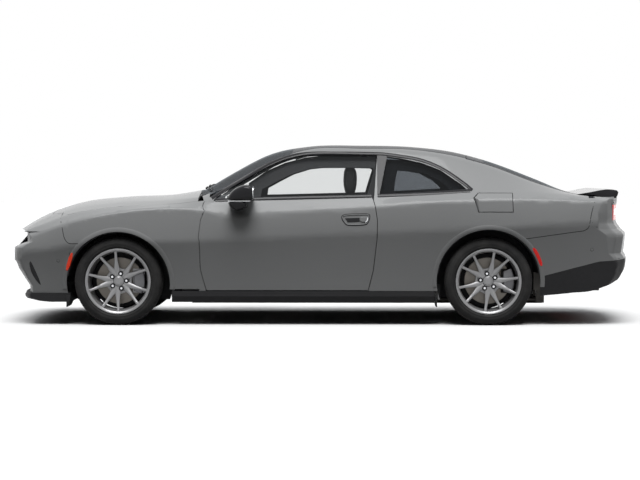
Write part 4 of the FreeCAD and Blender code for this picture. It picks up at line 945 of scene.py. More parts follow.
def makeWheels():
    count, pitches = wheelSizes["spokePairs"], wheelSizes["treadPitches"]
    pocket = movedBy(lathe(lugShadeProfile, 24), Matrix.Translation((0, 0, wheelSizes["lugCircle"])))
    for place in wheelTurns:
        matrix, body = wheelMatrix(place), "wheel_" + place

        def five(name, shape, slot):
            return repeated(name, shape, count, slot, turn=math.tau / count, matrix=matrix)

        spokes = five("spokes", spokePattern(), "wheel_alloy")
        rim = meshOf("rim", movedBy(together(lathe(rimProfile, 128), lathe(hubProfile, 64)), matrix))
        newPiece(f"rim_{place}", joinMeshes("rim", (spokes, rim)), "wheel_alloy", body, 28, bevel=0.0012,
                 hides=[f"wheel_{place}"])
        newPiece(f"cap_{place}", movedBy(lathe(capProfile, 48), matrix), "wheel_alloy", body, 40)
        # The gloss black discs round the nuts are painted shade for the lug holes.
        for name, shape, finish in (("lug_nuts", lugPattern(), "chrome"),
                                    ("lug_pockets", pocket, "gloss_black")):
            newPiece(f"{name}_{place}", five(name, shape, finish), "wheel_alloy", body, 30, finish=finish)
        newPiece(f"brake_disc_{place}", movedBy(lathe(discProfile, 96), matrix), "wheel_alloy", body, 30,
                 finish="disc_iron")
        tread = repeated("tread", treadPattern(), pitches, "tyre_rubber", turn=math.tau / pitches,
                         matrix=matrix)
        carcass = meshOf("carcass", movedBy(lathe(tyreProfile(), 144), matrix))
        newPiece(f"tread_tyre_{place}", joinMeshes("tyre", (carcass, tread)), "tyre_rubber", body, 35,
                 hides=[f"tyre_{place}"])


makeWheels()
print("wheels")


# Mouldings and plates on the body's side.
def chaikin(path, times=2):
    # Rounds the corners of an outline.
    path = np.array(path, float)
    for _ in range(times):
        after = np.roll(path, -1, axis=0)
        path = np.stack([0.75 * path + 0.25 * after, 0.25 * path + 0.75 * after], 1).reshape(-1, 2)
    return path


def grown(outline, reach):
    # The outline moved outward by reach.
    before, after = np.roll(outline, 1, axis=0), np.roll(outline, -1, axis=0)
    way = unit(after - before)
    out = np.stack([way[:, 1], -way[:, 0]], 1)
    area = (outline[:, 0] * after[:, 1] - after[:, 0] * outline[:, 1]).sum()
    return outline + out * (reach if area > 0 else -reach)


def skinPlate(name, outline, height, slot, body, side, rounds=2, finish=None, edge=0.2):
    # A small raised plate with softened edges on the body's side.
    outline = chaikin(outline, rounds)
    rim = min(height * edge + 0.001, 0.004)
    rings = [onSkin(outline, -0.004, side), onSkin(outline, height - rim, side),
             onSkin(grown(outline, -rim * 0.8), height, side)]
    newPiece(name, lofted(rings), slot, body, 40, finish=finish)


def skinRing(name, outline, width, height, slot, body, side):
    # A raised ring that follows an outline on the body's side.
    profile = [(-0.5, -0.004), (-0.5, height * 0.5), (-0.25, height), (0.25, height), (0.5, height * 0.5),
               (0.5, -0.004)]
    points = [p for share, lift in profile for p in onSkin(grown(outline, share * width), lift, side)]
    newPiece(name, (points, hoopFaces(len(profile), len(outline))), slot, body, 40)


def tube(path, radius, segments=10):
    # A round bar along a line of 3-D points.
    path = [Vector(p) for p in path]
    rings = []
    for k, spot in enumerate(path):
        way = (path[min(k + 1, len(path) - 1)] - path[max(k - 1, 0)]).normalized()
        one = way.cross(Vector((0.0, 0.0, 1.0)) if abs(way.z) < 0.9 else Vector((1.0, 0.0, 0.0))).normalized()
        other = way.cross(one)
        width = radius[k] if isinstance(radius, (list, tuple)) else radius
        rings.append([tuple(spot + (one * math.cos(t) + other * math.sin(t)) * width)
                      for t in (math.tau * j / segments for j in range(segments))])
    return lofted(rings)


# Doors: handles and inner panels, as (x, z) outlines.
handleSizes = {"pocket": [(0.176, 0.896), (0.202, 0.9155), (0.30, 0.9185), (0.398, 0.921), (0.406, 0.905),
                          (0.392, 0.852), (0.365, 0.8375), (0.236, 0.8345), (0.214, 0.842)],
               # The dark outline is painted shade for the recess behind the grip.
               "dark": [(0.205, 0.8885), (0.325, 0.893), (0.327, 0.859), (0.228, 0.854)],
               "grip": [(0.327, 0.899), (0.386, 0.900), (0.391, 0.884), (0.381, 0.858), (0.329, 0.858)],
               "tip": [(0.389, 0.899), (0.399, 0.896), (0.394, 0.868), (0.378, 0.853), (0.366, 0.854),
                       (0.384, 0.872)]}


def doorHandles():
    pocket = chaikin(handleSizes["pocket"])
    for side, hand in sides:
        body = f"door_{hand}"
        skinRing(f"handle_ring_{hand}", pocket, 0.0075, 0.0045, "paint", body, side)
        # A thin black ring round the pocket and a black plate in it: painted shade for the groove and the
        # recess behind the grip.
        skinRing(f"handle_groove_{hand}", grown(pocket, 0.007), 0.006, 0.0006, "black_trim", body, side)
        skinPlate(f"handle_pocket_{hand}", handleSizes["dark"], 0.0015, "black_trim", body, side, 0)
        skinPlate(f"handle_grip_{hand}", handleSizes["grip"], 0.007, "paint", body, side, 1, edge=0.4)
        skinPlate(f"handle_tip_{hand}", handleSizes["tip"], 0.006, "gloss_black", body, side, finish="chrome")


cardSizes = {"wall": 0.7465, "armRest": [(-0.62, 0.66), (0.30, 0.70), (0.34, 0.76), (-0.55, 0.73)],
             "pad": [(-0.80, 0.86), (0.40, 0.89), (0.41, 0.985), (-0.86, 0.965)], "speaker": (-0.70, 0.47),
             "pull": [(-0.40, 0.002, 0.80), (-0.36, 0.013, 0.806), (-0.16, 0.013, 0.812),
                      (-0.12, 0.002, 0.814)]}


def doorCards():
    # Inner door panels with an arm rest, a pad, a pull and a speaker.
    wall = cardSizes["wall"]
    for side, hand in sides:
        body = f"door_{hand}"
        rest = slab(cardSizes["armRest"], side, (wall + 0.004, wall - 0.012))
        newPiece(f"arm_rest_{hand}", rest, "cabin_plastic", body, bevel=0.004)
        pad = slab(cardSizes["pad"], side, (wall + 0.004, wall - 0.010))
        newPiece(f"door_pad_{hand}", pad, "seat_leather", body, bevel=0.006)
        x, z = cardSizes["speaker"]
        spot = Matrix.Translation((x, side * wall, z)) @ Matrix.Rotation(0 if side < 0 else math.pi, 4, "Z")
        ring = lathe([(0.07, -0.004), (0.082, -0.004), (0.082, 0.003), (0.076, 0.005), (0.07, 0.003)], 48)
        newPiece(f"speaker_ring_{hand}", movedBy(ring, spot), "cabin_plastic", body, finish="satin_silver")
        cover = lathe([(0.0, -0.004), (0.071, -0.004), (0.071, 0.0015), (0.0, 0.0025)], 48)
        newPiece(f"speaker_mesh_{hand}", movedBy(cover, spot), "cabin_plastic", body)
        pull = [(x, side * (wall - out), z) for x, out, z in cardSizes["pull"]]
        newPiece(f"door_pull_{hand}", tube(pull, 0.006), "cabin_plastic", body, finish="satin_silver")


doorHandles()
doorCards()
print("doors")

# Shut lines, arch lips and side lamps: paths on the body's side as (x, z). The shut lines are dark strips laid
# on the skin, painted shade for the gaps between panels.
noseLine = [(-2.166, 0.930), (-2.166, 0.888), (-2.140, 0.8085), (-2.125, 0.738), (-2.105, 0.699),
            (-2.080, 0.681), (-2.054, 0.6786), (-1.96, 0.6786)]
tailLine = [(2.280, 1.050), (2.244, 0.9326), (2.222, 0.8217), (2.200, 0.797), (2.171, 0.784), (2.097, 0.775),
            (1.875, 0.744), (1.70, 0.720)]
markerOutlines = {
    "front": [(-2.074, 0.600), (-2.040, 0.605), (-2.092, 0.452), (-2.120, 0.460)],
    "rear": [(1.747, 0.646), (1.779, 0.643), (1.815, 0.583), (1.845, 0.502), (1.823, 0.488), (1.794, 0.561)]}


pillarCover = [(0.4745, 1.079), (0.492, 1.080), (0.560, 1.400), (0.556, 1.412), (0.4745, 1.414)]


def sideLines():
    for side, hand in sides:
        # Dark strips along the shut lines: painted shade for the panel gaps.
        for name, line in (("nose", noseLine), ("tail", tailLine)):
            skinStrip(f"{name}_shut_line_{hand}", line, 0.0055, 0.0005, "black_trim", "root", side, 0.004)
        skinPlate(f"pillar_cover_{hand}", pillarCover, 0.0018, "gloss_black", "root", side, 0)
        for place, (axle, height) in zip(("front", "rear"), archCentres):
            turns = np.radians(np.linspace(-6, 186, 49))
            arc = np.stack([np.cos(turns), np.sin(turns)], 1) * archSizes["lipRadius"] + (axle, height)
            skinStrip(f"arch_lip_{place}_{hand}", arc, archSizes["lipWidth"], archSizes["lipHeight"], "paint",
                      "root", side, 0.004, False)
        for place, outline in markerOutlines.items():
            skinPlate(f"side_marker_{place}_{hand}", outline, 0.005, "red_lens", "root", side, 1,
                      "amber_lens" if place == "front" else "red_lens")
        # A filler closes the corner beside the tail lamp. Behind proudFrom it stands a little proud.
        wide, tall, proudFrom = 6, 13, 2.25
        corner = np.array([(x, z) for x in np.linspace(2.205, 2.300, wide)
                           for z in np.linspace(0.82, 1.055, tall)])
        proud, flush = onSkin(corner, 0.0006, side), onSkin(corner, -0.0004, side)
        outer = [a if x > proudFrom else b for a, b, x in zip(proud, flush, corner[:, 0])]
        cells = [(a + j, a + j + 1, a + j + tall + 1, a + j + tall)
                 for a in range(0, tall * (wide - 1), tall) for j in range(tall - 1)]
        fill = together((outer, cells), (onSkin(corner, -0.008, side), cells))
        newPiece(f"rear_corner_fill_{hand}", fill, "paint", "root", 60)
        low, high = sorted((side * 0.79, side * 0.81))
        newPiece(f"inner_sill_{hand}", brick((-1.22, low, 0.20), (1.0, high, 0.33)), "black_trim", "root")


sideLines()
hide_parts("side_markers")

# The cabin's lining round the windows.
doorOpening = [(-0.505, 1.06), (-0.492, 1.153), (-0.376, 1.214), (-0.254, 1.275), (-0.108, 1.320),
               (0.002, 1.332), (0.22, 1.334), (0.435, 1.330), (0.453, 1.318), (0.420, 1.21), (0.393, 1.116),
               (0.385, 1.05)]
quarterOpening = [(0.646, 1.311), (0.626, 1.22), (0.614, 1.141), (0.637, 1.120), (0.85, 1.13), (1.062, 1.141),
                  (1.080, 1.154), (1.045, 1.19), (0.996, 1.230), (0.882, 1.288), (0.751, 1.309)]
quarterOuter = [(0.52, 1.41), (0.50, 1.22), (0.47, 1.05), (0.60, 1.02), (0.85, 1.03), (1.12, 1.05),
                (1.29, 1.09), (1.20, 1.20), (1.07, 1.29), (0.90, 1.36), (0.70, 1.405)]
doorOuter = [(-0.62, 1.06), (-0.62, 1.22), (-0.47, 1.33), (-0.31, 1.40), (-0.13, 1.44), (0.002, 1.445),
             (0.22, 1.445), (0.46, 1.44), (0.55, 1.40), (0.55, 1.23), (0.52, 1.10), (0.50, 1.04)]


def liningSheet(name, inner, outer, side, closed):
    inner, outer = np.array(inner), np.array(outer)
    profile = ((0.0, 0.045), (0.5, 0.045), (1.0, 0.055), (1.0, 0.061), (0.5, 0.051), (0.0, 0.051))
    points = [p for share, deep in profile for p in onSkin(inner + (outer - inner) * share, -deep, side)]
    size, count = len(inner), len(profile)
    faces = hoopFaces(count, size, None if closed else size - 1)
    if not closed:
        faces += [tuple(a * size for a in range(count)), tuple(a * size + size - 1 for a in range(count))]
    newPiece(name, (points, faces), "cabin_plastic", "root", 50)


for side, hand in sides:
    liningSheet(f"pillar_lining_{hand}", doorOpening, doorOuter, side, False)
    liningSheet(f"quarter_lining_{hand}", quarterOpening, quarterOuter, side, True)
print("lining")

# Wheelhouses, calipers and dust shields.
def wheelhouses():
    # Inner walls that close the wheel arches, with a gap for the suspension arms.
    radius, half, top = archSizes["wallRadius"], archSizes["armHalf"], archSizes["armTop"]
    for (axle, height), place in zip(archCentres, ("front", "rear")):
        turns = np.radians(np.linspace(-22, 202, 45))
        ring = [(axle + radius * math.cos(t), height + radius * math.sin(t)) for t in turns]
        ring += [(axle - half, ring[-1][1]), (axle - half, top), (axle + half, top), (axle + half, ring[0][1])]
        for side, hand in sides:
            newPiece(f"wheelhouse_{place}_{hand}", slab(ring, side, archSizes["walls"]), "black_trim", "root")


caliperSizes = {"levels": ((0.868, 0.0), (0.882, 0.002), (0.893, -0.002), (0.897, -0.010)), "radius": 0.2195,
                "sweep": 29, "inner": 0.126, "innerHeights": (-0.082, -0.045, 0.0, 0.045, 0.082),
                "cap": [(0.0, 0.890), (0.017, 0.890), (0.017, 0.8945), (0.015, 0.8955), (0.006, 0.8955),
                        (0.0, 0.8950)],
                "capsAt": 0.166, "capHeights": (-0.048, 0.0, 0.048)}


def calipers():
    # Calipers over the discs, on the knuckles in front and on the body behind.
    c = caliperSizes
    turns = np.radians(np.linspace(c["sweep"], -c["sweep"], 13))
    for place, axle in (("front", frontAxle), ("rear", rearAxle)):
        for side, hand in sides:
            body = f"knuckle_{hand}" if place == "front" else "root"
            rings = []
            for y, grow in c["levels"]:
                high = c["radius"] + min(grow, 0)
                ring = [(high * math.cos(t), high * math.sin(t)) for t in turns]
                ring += [(c["inner"] - grow, z) for z in c["innerHeights"]]
                rings.append([(axle + x, side * y, tyreRadius + z) for x, z in ring])
            newPiece(f"caliper_{place}_{hand}", lofted(rings), "knuckle_iron", body, bevel=0.003,
                     finish="caliper_grey")
            for number, z in enumerate(c["capHeights"]):
                cap = movedBy(lathe(c["cap"], 32), Matrix.Rotation(math.pi if side < 0 else 0, 4, "Z"))
                spot = Matrix.Translation((axle + c["capsAt"], 0, tyreRadius + z))
                newPiece(f"caliper_cap_{place}_{hand}_{number}", movedBy(cap, spot), "knuckle_iron", body,
                         finish="satin_silver")


def dustShields():
    # Thin plates behind the brake discs.
    profile = [(0.10, -0.075), (0.229, -0.075), (0.2295, -0.071), (0.225, -0.069), (0.10, -0.069)]
    for place in wheelTurns:
        body = "knuckle_" + place.split("_")[1] if place.startswith("front") else "root"
        newPiece(f"dust_shield_{place}", movedBy(lathe(profile, 64), wheelMatrix(place)), "black_trim", body,
                 30)


wheelhouses()
dustShields()
calipers()
print("running gear")


# Plates laid on the body by following rays.
def treeOf(*names):
    # A tree for finding where a ray meets the named pieces.
    points, faces = [], []
    for name in names:
        mesh = bpy.data.objects[name].data
        start = len(points)
        points += [v.co.copy() for v in mesh.vertices]
        faces += [tuple(start + k for k in f.vertices) for f in mesh.polygons]
    return BVHTree.FromPolygons(points, faces)


def castPlate(name, outline, way, lift, slot, tree, finish=None):
    # A plate whose outline, given on two axes, is carried along way until it lies on the pieces of the tree.
    way, far = Vector(way), 3.2
    others = [k for k in range(3) if abs(way[k]) < 0.5]
    outline = np.array(outline, float)
    middle = outline.mean(0)

    def ringAt(shrink, up):
        ring = []
        for spot in middle + (outline - middle) * shrink:
            origin = way * -far
            origin[others[0]], origin[others[1]] = spot
            hit = tree.ray_cast(origin, way)[0]
            ring.append(hit - way * up if hit else None)
        good = [p for p in ring if p]
        if not good:
            raise ValueError(name + " misses the body")
        return [tuple(p or good[0]) for p in ring]

    rings = [ringAt(1.0, -0.004), ringAt(1.0, lift * 0.6), ringAt(0.94, lift), ringAt(0.5, lift)]
    newPiece(name, lofted(rings), slot, "root", 40, finish=finish)


def ladder(name, low, high, count, size, slot, finish=None, end=None):
    # Bars in an even row between two places, each of the size given.
    low, high, half = Vector(low), Vector(high), Vector(size) / 2
    step = (high - low) / max(count - 1, 1)
    mesh = repeated(name, brick(-half, half), count, finish or slot, step=tuple(step),
                    matrix=Matrix.Translation(low))
    if end:
        bentTo(mesh, end)
    newPiece(name, mesh, slot, "root", 30, finish=finish)


# Mirrors: (x, z) outlines, and the widths at which each is drawn in by a share.
mirrorUpper = [(-0.762, 1.036), (-0.7625, 1.066), (-0.742, 1.100), (-0.715, 1.128), (-0.670, 1.154),
               (-0.622, 1.1685), (-0.585, 1.164), (-0.562, 1.146), (-0.552, 1.100), (-0.5495, 1.046),
               (-0.565, 1.034), (-0.66, 1.033)]
mirrorLower = [(-0.758, 1.030), (-0.66, 1.0315), (-0.612, 1.030), (-0.592, 0.990), (-0.622, 0.964),
               (-0.665, 0.954), (-0.702, 0.955), (-0.740, 0.976), (-0.756, 1.004)]
mirrorUpperSpans = [(0.905, 0.62), (0.915, 0.80), (0.94, 0.95), (0.99, 1.0), (1.05, 0.995), (1.09, 0.95),
                    (1.112, 0.84), (1.124, 0.64), (1.1275, 0.35)]
mirrorLowerSpans = [(0.87, 0.70), (0.93, 0.85), (0.97, 0.98), (1.03, 1.0), (1.07, 0.93), (1.10, 0.74),
                    (1.112, 0.45)]
mirrorSeam = [(-0.759, 1.0295), (-0.575, 1.0295), (-0.575, 1.0365), (-0.759, 1.0365)]
mirrorPane = [(0.93, 1.05), (0.945, 1.145), (1.03, 1.155), (1.095, 1.14), (1.105, 1.06), (1.04, 1.048)]


def lobe(outline, spans, anchor, side):
    # A rounded body made of one outline, drawn in towards anchor at each (y, share).
    return lofted([[(anchor[0] + (x - anchor[0]) * grow, side * y, anchor[1] + (z - anchor[1]) * grow)
                    for x, z in chaikin(outline)] for y, grow in spans])


def mirrors():
    for side, hand in sides:
        body = f"door_{hand}"
        upper = lobe(mirrorUpper, mirrorUpperSpans, (-0.560, 1.09), side)
        newPiece(f"mirror_housing_{hand}", upper, "gloss_black", body, 60, hides=[f"mirror_{hand}"])
        lower = lobe(mirrorLower, mirrorLowerSpans, (-0.66, 1.02), side)
        newPiece(f"mirror_foot_{hand}", lower, "gloss_black", body, 60)
        seam = slab(mirrorSeam, side, (0.93, 1.096))
        newPiece(f"mirror_seam_{hand}", seam, "gloss_black", body, 30, finish="satin_silver", bevel=0.0015)
        pane = lofted([[(x, side * y, z) for y, z in chaikin(mirrorPane)] for x in (-0.5545, -0.5500)])
        newPiece(f"mirror_glass_{hand}", pane, "gloss_black", body, 30, finish="chrome")


mirrors()
print("mirrors")

# Seats: pads that swell between their seams, with piping and stitches along them.
seatPads = {
    "cushion": {"outline": [(-0.338, 0.40), (-0.345, 0.465), (-0.305, 0.503), (-0.10, 0.488), (0.05, 0.472),
                            (0.10, 0.478), (0.115, 0.41)], "spans": [(0.205, 0.535)]},
    "cushion_bolster": {"outline": [(-0.325, 0.41), (-0.343, 0.475), (-0.302, 0.517), (-0.10, 0.500),
                                    (0.07, 0.482), (0.11, 0.495), (0.12, 0.415)],
                                    "spans": [(0.125, 0.208), (0.532, 0.615)]},
    "back": {"outline": [(0.135, 0.50), (0.158, 0.575), (0.190, 0.80), (0.219, 1.02), (0.232, 1.07),
                         (0.272, 1.06), (0.262, 0.80), (0.250, 0.52)], "spans": [(0.205, 0.535)]},
    "back_bolster": {"outline": [(0.115, 0.51), (0.150, 0.57), (0.180, 0.80), (0.208, 1.00), (0.222, 1.045),
                                 (0.270, 1.04), (0.262, 0.80), (0.252, 0.53)],
                                 "spans": [(0.125, 0.208), (0.532, 0.615)]},
    "headrest": {"outline": [(0.222, 1.05), (0.197, 1.13), (0.191, 1.19), (0.197, 1.27), (0.207, 1.308),
                             (0.25, 1.328), (0.295, 1.308), (0.309, 1.25), (0.309, 1.18), (0.298, 1.11),
                             (0.272, 1.05)],
                 "spans": [(0.255, 0.485)]}}
benchPads = {
    "bench_cushion": {"outline": [(0.565, 0.535), (0.562, 0.590), (0.600, 0.606), (0.74, 0.582), (0.88, 0.562),
                                  (0.93, 0.570), (0.95, 0.53)], "spans": [(0.018, 0.235), (0.239, 0.455)]},
    "bench_back": {"outline": [(0.94, 0.565), (0.972, 0.63), (1.025, 0.80), (1.078, 0.955), (1.128, 0.992),
                               (1.160, 0.962), (1.120, 0.76), (1.085, 0.58)],
                               "spans": [(0.018, 0.235), (0.239, 0.455)]}}
padCrown = ((0.0, 0.5), (0.03, 0.76), (0.12, 0.92), (0.32, 0.985), (0.5, 1.0), (0.68, 0.985), (0.88, 0.92),
            (0.97, 0.76), (1.0, 0.5))


def padShape(outline, low, high):
    outline = np.array(outline)
    middle = outline.mean(0)
    return lofted([[(x, low + (high - low) * share, z) for x, z in middle + (outline - middle) * grow]
                   for share, grow in padCrown])


seatTrim = {"cushion_piping": [(-0.338, 0.478), (-0.302, 0.508), (-0.10, 0.492), (0.06, 0.476)],
            "back_piping": [(0.160, 0.585), (0.188, 0.80), (0.214, 1.00), (0.226, 1.045)],
            "back_stitches": ((0.1585, 0.60), (0.2165, 1.01), 38, (0.003, 0.0016, 0.0065)),
            "cushion_stitches": ((-0.29, 0.5025), (0.03, 0.4755), 30, (0.0065, 0.0016, 0.003)),
            "pipingAt": (0.2065, 0.5335), "stitchesAt": (0.31, 0.43), "pipe": 0.0035,
            "shell": [(0.245, 0.52), (0.262, 0.80), (0.274, 1.05), (0.262, 1.06), (0.250, 0.80), (0.235, 0.52)]}


def seats():
    hides = ["seats"]
    for side, hand in sides:
        for name, pad in {**seatPads, **benchPads}.items():
            for number, span in enumerate(pad["spans"]):
                low, high = sorted((side * span[0], side * span[1]))
                piece = newPiece(f"{name}_{hand}_{number}", padShape(pad["outline"], low, high), "seat_leather",
                                 "root", 180, levels=2, hides=hides)
                hides = []
        for number, y in enumerate(seatTrim["pipingAt"]):
            for name in ("cushion_piping", "back_piping"):
                pipe = tube([(x, side * y, z) for x, z in seatTrim[name]], seatTrim["pipe"], 8)
                newPiece(f"{name}_{hand}_{number}", pipe, "seat_leather", "root", finish="thread")
        for number, y in enumerate(seatTrim["stitchesAt"]):
            for name in ("back_stitches", "cushion_stitches"):
                (x0, z0), (x1, z1), count, size = seatTrim[name]
                ladder(f"{name}_{hand}_{number}", (x0, side * y, z0), (x1, side * y, z1), count, size,
                       "seat_leather", "thread")
        low, high = sorted((side * 0.17, side * 0.57))
        newPiece(f"seat_base_{hand}", brick((-0.26, low, 0.25), (0.12, high, 0.405)), "cabin_plastic", "root",
                 bevel=0.01)
        shell = slab(seatTrim["shell"], 1, sorted((side * 0.14, side * 0.60)))
        newPiece(f"seat_shell_{hand}", shell, "cabin_plastic", "root", bevel=0.003)
    newPiece("bench_base", brick((0.895, -0.45, 0.5215), (1.09, 0.45, 0.5615)), "cabin_plastic", "root")


def dashDetails():
    for name, low, high in (("centre_screen", (-0.640, -0.12, 0.885), (-0.609, 0.19, 0.985)),
                            ("driver_screen", (-0.668, -0.52, 0.955), (-0.640, -0.22, 1.035))):
        newPiece(name, brick(low, high), "gloss_black", "root", bevel=0.004)
    for number, y in enumerate((-0.62, -0.17, 0.24, 0.62)):
        surround = brick((-0.640, y - 0.055, 0.815), (-0.632, y + 0.055, 0.865))
        newPiece(f"vent_frame_{number}", surround, "gloss_black", "root", bevel=0.002)
        ladder(f"vent_blades_{number}", (-0.630, y, 0.823), (-0.630, y, 0.857), 4, (0.008, 0.10, 0.003),
               "cabin_plastic", "satin_silver")


seats()
dashDetails()
print("seats and dashboard")

# Front and rear ends.
fasciaSlot = [(-2.418, 0.532), (-2.402, 0.520), (-2.325, 0.335), (-2.338, 0.330), (-2.400, 0.41),
              (-2.425, 0.50)]


def sideTrims():
    nose, tail = treeOf("front_fascia_skin"), treeOf("rear_fascia_skin")
    for side, hand in sides:
        way = (0, -side, 0)
        castPlate(f"fascia_slot_{hand}", chaikin(fasciaSlot), way, 0.0012, "black_trim", nose)
        for name, spot, tree in (("front_sensor", (-2.176, 0.536), nose),
                                 ("rear_sensor", (2.250, 0.628), tail)):
            castPlate(f"{name}_{hand}", circle(0.0115, 20, spot), way, 0.0008, "paint", tree)
            castPlate(f"{name}_{hand}_rim", circle(0.0135, 20, spot), way, 0.0003, "black_trim", tree)


mouthSizes = {"x": -2.5365, "half": 0.66, "middle": 0.702, "fins": 95, "fin": (0.010, 0.0035, 0.092),
              "bars": (0.668, 0.703, 0.738), "slatHalf": 0.535, "slats": np.linspace(0.322, 0.418, 6),
              "barProfile": ((-0.007, -0.003), (-0.007, 0.001), (0.004, 0.005), (0.004, -0.005))}


def grilles():
    m = mouthSizes
    ladder("grille_fins", (m["x"], -m["half"], m["middle"]), (m["x"], m["half"], m["middle"]), m["fins"],
           m["fin"], "gloss_black", end="nose")
    tree = treeOf("front_grille_skin")
    for name, half, heights in (("mouth_bars", m["half"], m["bars"]),
                                ("lower_grille_slats", m["slatHalf"], m["slats"])):
        bars = []
        for z in heights:
            hits = [tree.ray_cast(Vector((-3, y, z)), Vector((1, 0, 0)))[0]
                    for y in np.linspace(-half, half, 33)]
            rings = [[(hit.x + back, hit.y, z + up) for back, up in m["barProfile"]] for hit in hits if hit]
            bars.append(lofted(rings))
        newPiece(name, together(*bars), "gloss_black", "root", 30)


lampSizes = {"count": 4, "x": -2.5325, "z": 0.702, "first": 0.44, "step": 0.062,
             "cell": [(0.0, 0.0), (0.021, 0.0), (0.021, 0.010), (0.017, 0.008), (0.008, 0.003), (0.0, 0.002)],
             "glow": [(0.0, 0.002), (0.014, 0.002), (0.014, 0.009), (0.010, 0.012), (0.0, 0.013)]}


def headlamps():
    # Light bars at the ends of the mouth, with reflector cells in each.
    turn = Matrix.Rotation(math.pi / 2, 4, "Z")
    for side, hand in sides:
        for number in range(lampSizes["count"]):
            y = side * (lampSizes["first"] + lampSizes["step"] * number)
            spot = Matrix.Translation((lampSizes["x"], y, lampSizes["z"])) @ turn
            for name, profile, segments, finish in (("lamp_cell", lampSizes["cell"], 32, "chrome"),
                                                    ("lamp_lens", lampSizes["glow"], 24, None)):
                shape = movedBy(lathe(profile, segments), spot)
                piece = newPiece(f"{name}_{hand}_{number}", shape, "lamp_lens", "root", finish=finish)
                bentTo(piece.data, "nose")


plateSizes = {"z": 0.74, "half": 0.17, "tall": 0.072, "frame": 0.006}


def rearPlate():
    # A blank number plate with a thin frame.
    z, half, tall = plateSizes["z"], plateSizes["half"], plateSizes["tall"]
    outline = np.array([(-half, z - tall), (half, z - tall), (half, z + tall), (-half, z + tall)])
    tree, way = treeOf("rear_fascia_skin"), (-1, 0, 0)
    castPlate("rear_plate_frame", grown(outline, plateSizes["frame"]), way, 0.006, "black_trim", tree)
    castPlate("rear_plate", outline, way, 0.010, "paint", tree, "plate_white")


wingSection = [(2.160, 1.0863), (2.223, 1.0821), (2.298, 1.0754), (2.349, 1.0586), (2.416, 1.051),
               (2.479, 1.0527), (2.4917, 1.0737), (2.500, 1.1015), (2.4875, 1.1174), (2.4497, 1.1243),
               (2.3995, 1.126), (2.349, 1.120), (2.265, 1.103)]


wingSizes = {"half": 0.70, "deepFrom": 0.64, "sweep": 0.03, "thin": 0.45, "tipShrink": 0.9,
             "middle": (2.35, 1.09), "stations": (0.0, 0.2, 0.45, 0.63, 0.672, 0.694, 0.700),
             "top": ([2.16, 2.349, 2.45, 2.50], [1.0863, 1.120, 1.1243, 1.11])}


def rearWing():
    # The spoiler: a thin blade with deep ends.
    w = wingSizes
    midX, midZ = w["middle"]
    rings = []
    for y in [-y for y in reversed(w["stations"][1:])] + list(w["stations"]):
        deep = w["thin"] if abs(y) < w["deepFrom"] else 1.0
        shrink = w["tipShrink"] if abs(y) == w["half"] else 1.0
        back = w["sweep"] * (1 - (y / w["half"]) ** 2)
        ring = []
        for x, z in wingSection:
            top = np.interp(x, *w["top"])
            ring.append((midX + (x - midX) * shrink + back, y, midZ + (top - (top - z) * deep - midZ) * shrink))
        rings.append(ring)
    newPiece("rear_wing", lofted(rings), "gloss_black", "hatch", 50, hides=["spoiler"])
    for side, hand in sides:
        foot = brick((2.30, side * 0.55 - 0.02, 1.02), (2.40, side * 0.55 + 0.02, 1.10))
        newPiece(f"wing_foot_{hand}", foot, "gloss_black", "hatch", bevel=0.006)


splitterRings = [(0.191, 0.25), (0.198, 0.18), (0.216, 0.104), (0.235, 0.088), (0.250, 0.086), (0.262, 0.092),
                 (0.266, 0.10)]


def splitter():
    # The blade under the nose, which follows the nose's plan.
    wide = np.array([0.0, 0.2, 0.4, 0.6, 0.77, 0.85, 0.89, 0.91])
    rings = []
    for z, back in splitterRings:
        front = bodyEnds["nose"]["tip"] + back + np.interp(wide, *bodyEnds["nose"]["finePlan"])
        half = [(x, y, z) for x, y in zip(front, wide)] + [(-2.08, 0.91, z)]
        rings.append(half + [(x, -y, z) for x, y, z in reversed(half[1:])])
    newPiece("splitter_blade", lofted(rings), "black_trim", "root", 35, hides=["front_splitter"])


ridgeLine = ((-1.19, 0.9295), (-0.6, 0.9325), (0.2, 0.9325), (0.92, 0.9295))
ridgeProfile, ridgeHeight = ((-0.008, 0.0), (0.0, 0.002), (0.003, 0.006), (0.0, 0.011), (-0.008, 0.012)), 0.2405
frontFlap = [(-2.112, 0.245), (-2.078, 0.245), (-2.08, 0.20), (-2.104, 0.15), (-2.112, 0.15)]
rearFlap = [(0.950, 0.24), (0.965, 0.24), (0.972, 0.15), (0.962, 0.15)]


def lowerEdges():
    # Rocker ridges, and deflectors ahead of the wheels.
    for side, hand in sides:
        ridge = [[(x, side * (y + out), ridgeHeight + up) for out, up in ridgeProfile] for x, y in ridgeLine]
        newPiece(f"sill_ridge_{hand}", lofted(ridge), "black_trim", "root", 50, finish="gloss_black")
        for place, flap, depths in (("front", frontFlap, (0.66, 0.93)), ("rear", rearFlap, (0.70, 0.92))):
            newPiece(f"{place}_deflector_{hand}", slab(flap, side, depths), "black_trim", "root", bevel=0.002)


wiperSizes = {"arms": (((-0.985, -0.30), (-0.93, -0.66)), ((-1.0, 0.30), (-0.96, -0.10))), "armLift": 0.012,
              "armBow": 0.010, "armRadius": (0.009, 0.004), "bladeLift": 0.007, "bladeRadius": 0.0055,
              "bladeReach": 0.30, "bladeEnds": (-0.55, 0.9), "bladeAhead": 0.012, "clearOf": 0.74}


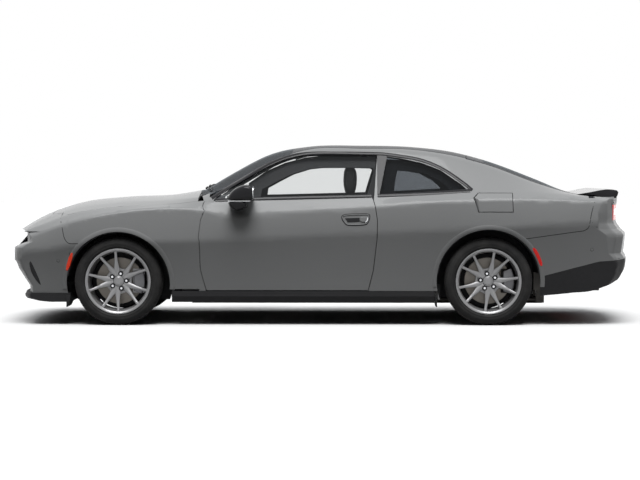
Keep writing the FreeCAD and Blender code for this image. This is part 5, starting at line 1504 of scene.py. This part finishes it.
def wipers():
    # Two arms with blades, parked along the foot of the windshield.
    tree, w = treeOf("windshield_skin", "cowl_panel"), wiperSizes

    def dropped(x, y):
        return tree.ray_cast(Vector((x, y, 2.0)), Vector((0, 0, -1)))[0]

    for number, (start, end) in enumerate(w["arms"]):
        line, blade = [], []
        for share in np.linspace(0, 1, 9):
            hit = dropped(start[0] + (end[0] - start[0]) * share, start[1] + (end[1] - start[1]) * share)
            if hit:
                line.append(hit + Vector((0, 0, w["armLift"] + w["armBow"] * math.sin(math.pi * share))))
        thick, thin = w["armRadius"]
        radii = [thick + (thin - thick) * k / 8 for k in range(len(line))]
        newPiece(f"wiper_arm_{number}", tube(line, radii), "black_trim", "root")
        way = -1 if number == 0 else 1
        for share in np.linspace(*w["bladeEnds"], 11):
            y = end[1] + w["bladeReach"] * share * way
            hit = dropped(end[0] + w["bladeAhead"] * (share + 1), y)
            if hit and abs(y) < w["clearOf"]:
                blade.append(hit + Vector((0, 0, w["bladeLift"])))
        newPiece(f"wiper_blade_{number}", tube(blade, w["bladeRadius"]), "black_trim", "root")


sideTrims()
grilles()
headlamps()
rearPlate()
splitter()
rearWing()
lowerEdges()
wipers()
print("front, sides and edges")


# The stage.
def makeStage():
    world = bpy.data.worlds.new("studio")
    scene.world = world
    world.use_nodes = True
    w = Maker(world.node_tree)
    height = w.add("ShaderNodeSeparateXYZ", {}, {0: w.add("ShaderNodeTexCoord", out="Generated")}, "Z")
    climb = w.add("ShaderNodeMapRange", {"interpolation_type": "SMOOTHSTEP"},
                  {"Value": height, "From Min": 0.5, "From Max": 1.0, "To Min": view["skyHorizon"],
                   "To Max": view["skyZenith"]})
    sky = w.add("ShaderNodeBackground", {}, {"Color": (0.97, 0.985, 1.0), "Strength": climb})
    plain = w.add("ShaderNodeBackground", {}, {"Color": (1.0, 1.0, 1.0), "Strength": 1.0})
    both = w.add("ShaderNodeMixShader", {}, {0: w.seen(), 1: sky, 2: plain})
    w.add("ShaderNodeOutputWorld", {}, {"Surface": both})

    reach = view["floorReach"]
    ground = bpy.data.meshes.new("floor")
    ground.from_pydata([(-reach, -reach, 0), (reach, -reach, 0), (reach, reach, 0), (-reach, reach, 0)], [],
                       [(0, 1, 2, 3)])
    floor = bpy.data.objects.new("floor", ground)
    scene.collection.objects.link(floor)
    f = Finish("floor_pale")
    dull, bright = [f.add("ShaderNodeBsdfDiffuse", {}, {"Color": (view[key],) * 3})
                    for key in ("floorGrey", "floorPale")]
    ground.materials.append(f.done(f.add("ShaderNodeMixShader", {}, {0: f.seen(), 1: dull, 2: bright})))

    lamp = bpy.data.lights.new("soft_sun", "SUN")
    lamp.energy = view["sunPower"]
    lamp.angle = math.radians(view["sunSpread"])
    item = bpy.data.objects.new("soft_sun", lamp)
    item.rotation_euler = (math.radians(view["sunTilt"]), 0.0, 0.0)
    scene.collection.objects.link(item)


makeStage()
makeCamera()
print("stage: floor, sky, lamp and camera")
